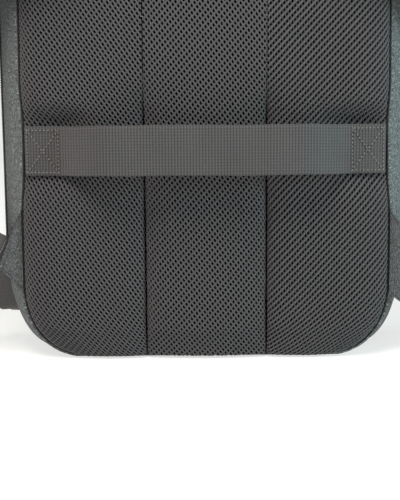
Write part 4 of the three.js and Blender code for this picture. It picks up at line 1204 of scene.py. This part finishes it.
# Straps at the sides. A place is a share of half the width, of the base depth and of the height.
# strap and slack: out, deep, up, faceOut, faceUp. tail: out, deep, up, faceIn, faceUp.
# wing: deep, lowOut, low, topOut, top.
webbingSize = {"width": 25, "wall": 1.6, "rib": 1.9, "ribHeight": 0.14}
lockSize = {"bar": 3, "slot": 5.4, "thickness": 3, "rim": 3.2, "clearance": 1, "corner": 2.6, "bevel": 0.6}
lockHalf = (3 * lockSize["bar"] + 2 * lockSize["slot"]) / 2
strapSize = {"width": 62, "endWidth": 34, "thickness": 11, "edge": 3.2, "seamShare": 0.14, "piping": 1.2}
sides = {
    "Left": {
        "sign": -1, "pitch": 27, "tip": (1.003, -0.008, 0.193), "lock": (1.187, 0.05, 0.232),
        "aim": (-0.81, -0.2, -0.55),
        "wing": (
            (-0.018, 0.899, 0.1165, 0.899, 0.266), (-0.024, 0.945, 0.138, 0.928, 0.2476),
            (-0.022, 0.99, 0.1537, 0.946, 0.232),
        ),
        "slack": (),
        "strap": (
            (0.36, -0.045, 0.886, 0, 0.3), (0.42, -0.125, 0.858, 0, 0.25),
            (0.53, -0.195, 0.825, 0, 0.15), (0.69, -0.225, 0.79, 0.05, 0.1),
            (0.88, -0.2, 0.75, 0.25, 0.1), (1.06, -0.1, 0.705, 0.6, 0.1), (1.2, 0.07, 0.648, 0.88, 0.1),
            (1.32, 0.24, 0.565, 0.98, 0.05), (1.42, 0.33, 0.465, 0.98, 0),
            (1.455, 0.29, 0.372, 0.93, -0.05), (1.42, 0.19, 0.3, 0.75, -0.15),
        ),
        "tail": (
            (1.112, 0.129, 0.188, 0.1, 0.25), (1.118, 0.205, 0.159, 0.1, 0.4),
            (1.088, 0.265, 0.133, 0.1, 0.3), (1.048, 0.305, 0.101, 0.15, 0.1),
            (0.995, 0.35, 0.073, 0.3, 0), (0.955, 0.42, 0.056, 0.5, 0),
        ),
    },
    "Right": {
        "sign": 1, "pitch": -27, "tip": (1.125, -0.012, 0.117), "lock": (1.45, 0.085, 0.166),
        "aim": (-0.42, -0.1, -0.9),
        "wing": (
            (-0.018, 0.899, 0.112, 0.899, 0.262), (-0.028, 0.958, 0.0965, 0.95, 0.238),
            (-0.03, 1.02, 0.0865, 1.03, 0.206),
        ),
        "slack": ((1.225, 0.0, 0.091, 0, 0.35), (1.3, 0.03, 0.084, 0, 0.6), (1.37, 0.06, 0.1, -0.3, 0.45)),
        "strap": (
            (0.36, -0.045, 0.886, 0, 0.3), (0.42, -0.125, 0.858, 0, 0.25),
            (0.53, -0.195, 0.824, 0, 0.15), (0.69, -0.225, 0.787, 0.05, 0.1),
            (0.88, -0.2, 0.745, 0.25, 0.1), (1.06, -0.1, 0.697, 0.6, 0.1),
            (1.19, 0.06, 0.635, 0.88, 0.1), (1.29, 0.21, 0.55, 0.98, 0.05), (1.38, 0.29, 0.45, 0.98, 0),
            (1.47, 0.26, 0.35, 0.92, 0), (1.515, 0.18, 0.265, 0.7, 0),
        ),
        "tail": (
            (1.405, 0.16, 0.1, 0, 0.3), (1.385, 0.2, 0.055, 0, 0.35), (1.355, 0.27, 0.02, 0, 0.75),
            (1.3, 0.38, 0.006, 0, 0.98), (1.23, 0.5, 0.004, 0, 1),
        ),
    },
}


def place(sign, out, deep, up):
    return np.array([
        sign * out * body["halfWidth"], body["backY"] + deep * body["baseDepth"], up * body["height"]])


def towards(sign, x, y, z):
    return unit(np.array([sign * x, y, z], float))


def faceOf(sign, out, up, depthSign):
    return towards(sign, out, depthSign * math.sqrt(max(0, 1 - out ** 2 - up ** 2)), up)


def curvePoints(rows, shares):  # a centripetal Catmull-Rom curve, as the plain model's straps follow
    rows = np.asarray(rows, float)
    padded = np.vstack([2 * rows[0] - rows[1], rows, 2 * rows[-1] - rows[-2]])
    at = np.asarray(shares, float) * (len(rows) - 1)
    k = np.minimum(np.floor(at).astype(int), len(rows) - 2)
    f = (at - k)[:, None]
    a, b, c, d = (padded[k + n] for n in range(4))
    ab, bc, cd = (np.sqrt(np.linalg.norm(q - p, axis=1, keepdims=True)) for p, q in ((a, b), (b, c), (c, d)))
    bc = np.where(bc < 1e-4, 1, bc)
    ab, cd = np.where(ab < 1e-4, bc, ab), np.where(cd < 1e-4, bc, cd)
    leave = ((b - a) / ab - (c - a) / (ab + bc) + (c - b) / bc) * bc
    arrive = ((c - b) / bc - (d - b) / (bc + cd) + (d - c) / cd) * bc
    square, cube = 3 * (c - b) - 2 * leave - arrive, 2 * (b - c) + leave + arrive
    return b + leave * f + square * f ** 2 + cube * f ** 3


def strapFrames(places, faces, count, seam=False):
    share = np.linspace(0, 1, count)
    at = curvePoints(places, share)
    before, after = np.maximum(share - 1e-4, 0), np.minimum(share + 1e-4, 1)
    ahead = curvePoints(places, after) - curvePoints(places, before)
    along = unit(ahead)
    look = curvePoints(unit(np.asarray(faces, float)), share)
    look = unit(look - (look * along).sum(-1, keepdims=True) * along)
    across = np.cross(along, look)
    if seam:
        pull = (1 - smooth(0, strapSize["seamShare"], share))[:, None]
        across = unit(mix(across, np.array([-1.0, 0, 0]), pull))
    return {"at": at, "look": look, "across": across, "share": share, "run": runOf(at)}


def frameGrid(frames, aside, out):
    # points off a strap's middle line: rows along it, columns across it
    points = frames["at"][:, None] + frames["across"][:, None] * aside[..., None]
    return points + frames["look"][:, None] * out[..., None]


def strapLoft(name, frames, aside, upper, lower, finish):
    top, under = frameGrid(frames, aside, upper), frameGrid(frames, aside, lower)
    cut = np.stack([aside, np.broadcast_to(frames["run"][:, None], aside.shape)], -1)
    rings = np.concatenate([top, under[:, ::-1]], axis=1)
    return loft(name, rings, roundCut(cut), finish)


def makeWebbing(name, frames, slot, *nodes, width=None):  # narrow woven strap with fine ribs across it
    half = (width or webbingSize["width"]) / 2
    aside = np.sin(np.linspace(-1, 1, 13) * math.pi / 2)[None] * half + 0 * frames["run"][:, None]
    edge = 0.5 + 0.5 * smooth(half, half - 1.2, np.abs(aside))
    ribs = np.abs(np.sin(math.pi * frames["run"] / webbingSize["rib"]))[:, None]
    thick = (webbingSize["wall"] / 2 - webbingSize["ribHeight"] * (1 - ribs)) * edge
    return settle(strapLoft(name, frames, aside, thick, -thick, strapWebbing), slot, *nodes)


def facingBack(along):  # square to a direction and towards the wearer's back
    look = np.array([0.0, -1, 0])
    return unit(look - look.dot(along) * along)


def tipOf(side):
    sign, pitch = side["sign"], math.radians(side["pitch"])
    along = towards(sign, math.cos(pitch), 0.03, math.sin(pitch))
    look = facingBack(along)
    return place(sign, *side["tip"]), along, look, np.array([-math.sin(pitch) * sign, 0, math.cos(pitch)])


def lockOf(side):
    along = towards(side["sign"], *side["aim"])
    look = facingBack(along)
    return place(side["sign"], *side["lock"]), along, look, np.cross(along, look)


# Wings: cloth triangles in the side seams, folded and bar-tacked along the tip that holds the webbing
wing = {
    "wall": 2.2, "puff": 1.5, "hem": 8.5, "hemRise": 0.7, "crease": 13, "creaseHeight": 0.9,
    "tackInset": 1.6,
}


def makeWing(name, side):
    at, _, _, up = tipOf(side)
    sign, reach = side["sign"], webbingSize["width"] / 2 + 1
    lows = [place(sign, row[1], row[0], row[2]) for row in side["wing"]] + [at - up * reach]
    tops = [place(sign, row[3], row[0], row[4]) for row in side["wing"]] + [at + up * reach]
    rows, columns = 64, 60
    t, s = np.linspace(0, 1, rows), np.linspace(0, 1, columns)
    a, b = curvePoints(lows, t)[:, None], curvePoints(tops, t)[:, None]
    points = mix(a, b, s[None, :, None])
    puff = np.sin(math.pi * s)[None] * np.sin(math.pi * t)[:, None]
    points[..., 1] -= wing["puff"] * puff
    fromTip = np.linalg.norm(points - points[-1:], axis=-1)
    span = np.linalg.norm(b - a, axis=-1)
    # they run out from the tip
    creases = waves(s[None] * 5 + 0 * t[:, None], t[:, None] * 1.2 + 0 * s[None], 0.6, 83) * puff
    points[..., 1] -= wing["creaseHeight"] * creases * smooth(0, 12, fromTip)
    points[..., 1] -= wing["hemRise"] * smooth(wing["hem"] + 0.5, wing["hem"] - 0.5, fromTip)
    edge = np.minimum(s, 1 - s)[None] * span
    points[..., 1] -= 0.5 * np.exp(-(((edge - 1.6) / 1.4) ** 2))
    normals = gridNormals(points, points.mean((0, 1)) + (0, 200, 0))
    cloud = cloth("wing" + name, points, wing["wall"], shadedWingCloth, normals=normals)
    settle(cloud, "heather_cloth", "strap_wing_" + name.lower())
    tack = seamLine(points, normals, -wing["tackInset"], 0.1)
    stampRows("wingTack" + name, stitchStamp, barTack, darkThread, "heather_cloth", [tack])
    lines = [seamLine(points, normals, -wing["hem"] + 1.4)]
    lines += [seamLine(turned(points), turned(normals), inset) for inset in (2.6, -2.6)]
    stampRows("wingStitches" + name, stitchStamp, stitch, darkThread, "heather_cloth", lines)


# Ladder locks: moulded frames with three bars, rounded at their edges
def mouldedPlate(name, outlines, thickness, bevel, axes, at, finish):
    # a flat plate of outlines in its own plane, the first outside and the others holes, with rounded edges
    flat = bpy.data.curves.new(name, "CURVE")
    flat.dimensions, flat.fill_mode = "2D", "BOTH"
    flat.extrude, flat.bevel_depth, flat.offset = (thickness / 2 - bevel) * mm, bevel * mm, -bevel * mm
    flat.bevel_resolution = 2
    for outline in outlines:
        spline = flat.splines.new("POLY")
        spline.points.add(len(outline) - 1)
        spline.use_cyclic_u = True
        for point, (x, y) in zip(spline.points, outline):
            point.co = (x * mm, y * mm, 0, 1)
    flatPiece = bpy.data.objects.new(name, flat)
    scene.collection.objects.link(flatPiece)
    bpy.context.view_layer.update()
    mesh = bpy.data.meshes.new_from_object(flatPiece.evaluated_get(bpy.context.evaluated_depsgraph_get()))
    bpy.data.objects.remove(flatPiece)
    turn = Matrix([list(axis) for axis in np.array(axes).T]).to_4x4()
    turn.translation = [v * mm for v in at]
    mesh.transform(turn)
    mesh.materials.clear()
    mesh.materials.append(finish)
    mesh.polygons.foreach_set("use_smooth", np.ones(len(mesh.polygons), bool))
    mesh.set_sharp_from_angle(angle=math.radians(40))
    piece = bpy.data.objects.new(name, mesh)
    scene.collection.objects.link(piece)
    return piece


def roundedBox(halfX, halfY, corner, middle=(0, 0), steps=5):
    points = []
    for k, (sx, sy) in enumerate(((1, 1), (-1, 1), (-1, -1), (1, -1))):
        for angle in np.linspace(0, math.pi / 2, steps) + k * math.pi / 2:
            x = sx * (halfX - corner) + corner * math.cos(angle)
            points.append((x + middle[0], sy * (halfY - corner) + corner * math.sin(angle) + middle[1]))
    return points


def makeLock(name, side):
    at, along, look, across = lockOf(side)
    slotReach = webbingSize["width"] / 2 + lockSize["clearance"]
    pitch = (lockSize["bar"] + lockSize["slot"]) / 2
    outlines = [roundedBox(slotReach + lockSize["rim"], lockHalf, lockSize["corner"])]
    outlines += [roundedBox(slotReach, lockSize["slot"] / 2, 0.8, (0, middle)) for middle in (-pitch, pitch)]
    axes = (across, along, look)
    piece = mouldedPlate(
        "ladderLock" + name, outlines, lockSize["thickness"], lockSize["bevel"], axes, at, lockPlastic)
    settle(piece, "lock_plastic", "ladder_lock_" + name.lower())


# from the wing over the lock, down through its rear slot and back as a tail
def makeStrapWebbing(name, side):
    sign = side["sign"]
    tipAt, tipAlong, tipLook, _ = tipOf(side)
    lockAt, along, look, _ = lockOf(side)
    clear = lockSize["thickness"] / 2 + webbingSize["wall"] / 2 + 0.35
    bar = lockSize["bar"] + lockSize["slot"]
    slotMiddle = -bar / 2

    def at(a, n):
        return lockAt + along * a + look * n
    start = tipAt + tipAlong * body["seamGap"] + (0, wing["wall"] / 2, 0)
    rows = [(start, tipLook), (start + tipAlong * 7, tipLook)]
    rows += [(place(sign, *row[:3]), faceOf(sign, row[3], row[4], -1)) for row in side["slack"]]
    rows += [
        (at(bar + 4, clear + 0.9), look), (at(0, clear), look),
        (at(slotMiddle + 1.2, clear * 0.93), look - along * 0.35),
        (at(slotMiddle - 0.2, 0), -along), (at(slotMiddle + 1.2, -clear * 0.93), -look - along * 0.35),
        (at(0, -clear - 0.3), -look), (at(bar + 4, -clear - 1.8), -look),
    ]
    rows += [(place(sign, *row[:3]), faceOf(sign, -row[3], row[4], 1)) for row in side["tail"]]
    places, faces = zip(*rows)
    frames = strapFrames(places, faces, 700)
    makeWebbing("strapWebbing" + name, frames, "webbing", "strap_webbing_" + name.lower())


# Shoulder straps: foam between melange cloth outside and spacer mesh inside, piped at both edges
def strapDepth(share):  # half the thickness, thin at both ends, and how far it has grown to full
    ends = np.minimum(smooth(0, 0.15, share), 1 - smooth(0.88, 1, share))
    return mix(strapSize["edge"] / 2 + 0.3, strapSize["thickness"] / 2, ends), ends


def makeShoulderStrap(name, side):
    sign = side["sign"]
    lockAt, along, look, _ = lockOf(side)
    clear = lockHalf + body["seamGap"] + 0.3
    rows = [(place(sign, *row[:3]), faceOf(sign, row[3], row[4], -1)) for row in side["strap"]]
    rows += [(lockAt - along * back, look) for back in (clear + 14, clear)]
    places, faces = zip(*rows)
    frames = strapFrames(places, faces, 260, seam=True)
    share = frames["share"][:, None]
    half = mix(strapSize["width"], strapSize["endWidth"], smooth(0.62, 0.97, share)) / 2
    full, ends = strapDepth(share)
    s = np.sin(np.linspace(-1, 1, 45) * math.pi / 2)[None]
    s = np.sign(s) * np.abs(s) ** 0.85
    thin = strapSize["edge"] * 0.3
    thick = thin + (full - thin) * np.sqrt(1 - np.abs(s) ** 5)
    aside = s * (half - strapSize["piping"])
    run = frames["run"][:, None] + 0 * s
    inner = 1 - np.abs(s) ** 4
    rough = 0.5 * waves(run, aside, 34, 91) * inner + 0.3 * waves(run, aside * 0.4, 8, 93) * np.abs(s) ** 6
    stitchDip = 0.5 * np.exp(-(((half - np.abs(aside) - 6) / 1.1) ** 2)) * ends
    outer = thick + rough - stitchDip
    pieceOuter = strapLoft("shoulderStrap" + name, frames, aside, outer, -thin + 0 * outer, heatherCloth)
    settle(pieceOuter, "heather_cloth", "shoulder_strap_" + name.lower(), fill=0.75)
    under = frameGrid(frames, aside, -(thick - 0.4) + 0.3 * rough)
    away = gridNormals(under)
    if (away * frames["look"][:, None]).sum() > 0:
        away = -away
    settle(knitOver("strapMesh" + name, under, away, knitTiles[sign], knitYarn), "spacer_mesh")
    lining = strapLoft("strapFoam" + name, frames, aside * 0.985, -thin * 0.5 + 0 * outer,
        -(thick - 2.1).clip(thin * 0.8), shadedFoamLining)
    settle(lining, "spacer_mesh")
    cords = []
    for edge in (-1, 1):
        line = frameGrid(frames, edge * (half - strapSize["piping"]), 0 * half)[:, 0]
        cords.append(tube("strapPiping", evenly(line, 500), strapSize["piping"], bindingTapeAndSeamShade, 8))
    settle(joinPieces("strapPiping" + name, cords), "binding")
    top = frameGrid(frames, aside, outer)
    normals = gridNormals(top)
    if (normals * frames["look"][:, None]).sum() < 0:
        normals = -normals
    lines = [seamLine(turned(top), turned(normals), inset) for inset in (6, -6)]
    stampRows("strapStitches" + name, stitchStamp, stitch, greyThread, "heather_cloth",
        [(a[8:-14], b[8:-14]) for a, b in lines])
    makeLockLoop(name, side, frames)


def makeLockLoop(name, side, frames):
    # webbing sewn on the strap's end and folded round the lock's upper bar
    lockAt, along, look, _ = lockOf(side)
    clear = lockSize["thickness"] / 2 + webbingSize["wall"] / 2 + 0.2
    bar = -lockHalf + lockSize["bar"] / 2
    full, _ = strapDepth(frames["share"])
    rows = [(frames["at"][k] + frames["look"][k] * (full[k] + 0.7), frames["look"][k])
            for k in range(185, 250, 13)]
    reach = lockSize["bar"] / 2 + webbingSize["wall"] / 2 + 0.2

    def at(a, n):
        return lockAt + along * (bar + a) + look * n
    rows += [
        (at(-reach - 2, clear + 0.5), look), (at(0, clear), look),
        (at(reach * 0.9, clear * 0.6), along + look * 0.6),
        (at(reach * 0.9, -clear * 0.6), along - look * 0.6),
        (at(0, -clear), -look), (at(-reach - 2.5, -clear - 0.3), -look),
    ]
    places, faces = zip(*rows)
    makeWebbing("lockLoop" + name, strapFrames(places, faces, 300), "webbing", width=webbingSize["width"] - 1)


for sideName, side in sides.items():
    makeWing(sideName, side)
    makeLock(sideName, side)
    makeStrapWebbing(sideName, side)
    makeShoulderStrap(sideName, side)
    print("straps ready:", sideName)


# Haul handle: webbing sewn flat at both ends, with a padded cloth grip that stands clear of the bag
handle = {
    "width": 22, "wall": 2.2, "rise": 35, "span": 96, "sewn": 26, "back": 12, "pad": 7, "grip": 31,
    "wrap": 0.5,
}


def makeHandle():
    def topOf(y):
        return sectionAt((y - body["backY"]) / body["topDepth"])["top"]
    y, wide = body["backY"] + handle["back"], handle["width"] / 2
    slope = (topOf(y + wide) - topOf(y - wide)) / handle["width"]
    top = max(topOf(y), (topOf(y + wide) + topOf(y - wide)) / 2)
    reach = handle["span"] / 2 + handle["sewn"]

    def rise(x):
        return handle["rise"] * (1 + np.cos(math.pi * clamp(np.abs(x) / (handle["span"] / 2)) ** 1.35)) / 2

    def grid(x, aside, out):
        normal = unit(np.stack([rise(x - 0.5) - rise(x + 0.5), 0 * x, 1 + 0 * x], -1))
        z = top + body["seamGap"] + 0.3 + handle["wall"] / 2 + rise(x) + slope * aside
        return np.stack(np.broadcast_arrays(x, y + aside, z), -1) + normal * out[..., None]

    def sleeve(name, x, aside, upper, lower, finish):
        front, behind = grid(x, aside, upper), grid(x, aside, lower)
        cut = np.stack(
            [aside, np.broadcast_to(runOf(front[:, front.shape[1] // 2])[:, None], aside.shape)], -1)
        rings = np.concatenate([front, behind[:, ::-1]], axis=1)
        return loft(name, rings, roundCut(cut), finish), front

    x = np.linspace(-reach, reach, 420)[:, None]
    aside = np.sin(np.linspace(-1, 1, 13) * math.pi / 2)[None] * wide + 0 * x
    ribs = np.abs(np.sin(math.pi * x / webbingSize["rib"]))
    thick = handle["wall"] / 2 - webbingSize["ribHeight"] * (1 - ribs)
    thick = thick * (0.5 + 0.5 * smooth(wide, wide - 1.2, np.abs(aside)))
    piece, front = sleeve("handleWebbing", x, aside, thick, -thick, strapWebbing)
    settle(piece, "webbing", "haul_handle")
    x = np.linspace(-handle["grip"], handle["grip"], 90)[:, None]
    s = np.sin(np.linspace(-1, 1, 25) * math.pi / 2)[None]
    ends = np.sqrt(1 - np.abs(x / handle["grip"]) ** 8)
    thick = (handle["pad"] / 2 * np.sqrt(1 - np.abs(s) ** 4).clip(0.25)) * (0.62 + 0.38 * ends)
    thick = thick + 0.25 * waves(x, s * 12, 7, 97)
    piece, front = sleeve("handleGrip", x, s * (wide + handle["wrap"]) + 0 * x, thick, -thick, heatherCloth)
    settle(piece, "heather_cloth", fill=0.85)
    normals = gridNormals(front, (0, y, top - 40))
    lines = [seamLine(turned(front), turned(normals), inset) for inset in (3.4, -3.4)]
    stampRows("gripStitches", stitchStamp, stitch, greyThread, "heather_cloth",
        [(a[4:-4], b[4:-4]) for a, b in lines])
    lines = []
    for side in (-1, 1):
        a, b, h = side * (handle["span"] / 2 + 3.5), side * (reach - 3), wide - 3
        for corners in boxAndCross(a, b, h):
            path = evenly(np.array(corners, float), 60)
            flat = grid(path[:, :1], path[:, 1:], np.full((60, 1), handle["wall"] / 2 + 0.05))[:, 0]
            lines.append((flat, np.tile((0.0, 0, 1), (60, 1))))
    stampRows("handleStitches", stitchStamp, {**stitch, "Pitch": 2.8, "Length": 2.1}, greyThread,
              "webbing", lines)


makeHandle()
print("handle ready")


# Zip sliders: a cast body of two plates on a bridge, with a flat pull hung from its loop
slider = {
    "length": 12, "width": 8.5, "height": 4, "meeting": 30, "pull": 26, "pullWidth": 6, "pullHeight": 1.6,
    "corner": 1.6,
    "bevel": 0.35, "loop": 0.75,
}


def makeSlider(name, node, at, along, out):
    across = np.cross(out, along)
    axes = (along, across, out)
    halfLong, halfWide = slider["length"] / 2, slider["width"] / 2
    shield = [(-halfLong, -halfWide * 0.7), (-halfLong + 1.5, -halfWide), (0.5, -halfWide),
              (halfLong - 1, -halfWide + 1.5), (halfLong, -halfWide + 2.6), (halfLong, halfWide - 2.6),
              (halfLong - 1, halfWide - 1.5), (0.5, halfWide),
              (-halfLong + 1.5, halfWide), (-halfLong, halfWide * 0.7)]
    parts = []
    for level, thick in ((0.55, 1.1), (2.25, 1.3)):
        parts.append(mouldedPlate(
            "plate", [shield], thick, slider["bevel"], axes, at + out * level, platedZinc))
    parts.append(mouldedPlate("post", [roundedBox(3, 1.6, 0.8)], 2.2, 0.2, axes, at + out * 1.4, platedZinc))
    t = np.linspace(0, math.pi, 14)[:, None]
    bridge = at + along * (-np.cos(t) * 4.2 + 0.4) + out * (2.6 + np.sin(t) ** 0.7 * 1.7)
    parts.append(tube("bridge", bridge, slider["loop"], platedZinc, 8))
    pullLong = slider["pull"] - 1
    middle = at + along * (halfLong + 0.4 + pullLong / 2 - 1.2) + out * (slider["height"] / 2 + 0.6)
    halfPull = pullLong / 2
    outlines = [roundedBox(halfPull, slider["pullWidth"] / 2, slider["corner"]),
                roundedBox(1.9, 1.5, 0.9, (-halfPull + 3.1, 0)),
                roundedBox(3.4, 1.1, 1.0, (halfPull - 5.4, 0))]
    parts.append(mouldedPlate("pull", outlines, slider["pullHeight"], 0.4, axes, middle, platedZinc))
    t = np.linspace(0, 2 * math.pi, 22, endpoint=False)[:, None]
    ring = at + along * (6.6 + np.cos(t) * 2.6) + across * np.sin(t) * 1.7
    ring = ring + out * (2.9 + 0.5 * np.cos(t))
    parts.append(tube("link", ring, 0.5, platedZinc, 8, closed=True))
    settle(joinPieces(name, parts), "slider_metal", node)


def makeSliders():
    middle = sum(zipShares) / 2
    top = sectionAt(middle)["top"]
    y = body["backY"] + middle * float(depthAt(top))
    offset = slider["length"] / 2 + body["seamGap"]
    for name, direction in (("Left", -1), ("Right", 1)):
        at = np.array([-slider["meeting"] + direction * offset, y, top + body["seamGap"]])
        makeSlider("mainSlider" + name, "main_zip_slider_" + name.lower(), at,
                   np.array([direction, 0.0, 0]), np.array([0.0, 0, 1]))
    at, ahead = frontPoint(-0.62, frontHigh), frontPoint(-0.52, frontHigh)
    along = unit(ahead - at)
    out = unit(np.cross(np.array([0.0, 0, 1]), along))
    makeSlider("frontSlider", "front_zip_slider", at + out * body["seamGap"] * 2, along, out)


makeSliders()
for helper in (*knitTiles.values(), stitchStamp, toothStamp):
    bpy.data.objects.remove(helper)
print("sliders ready")
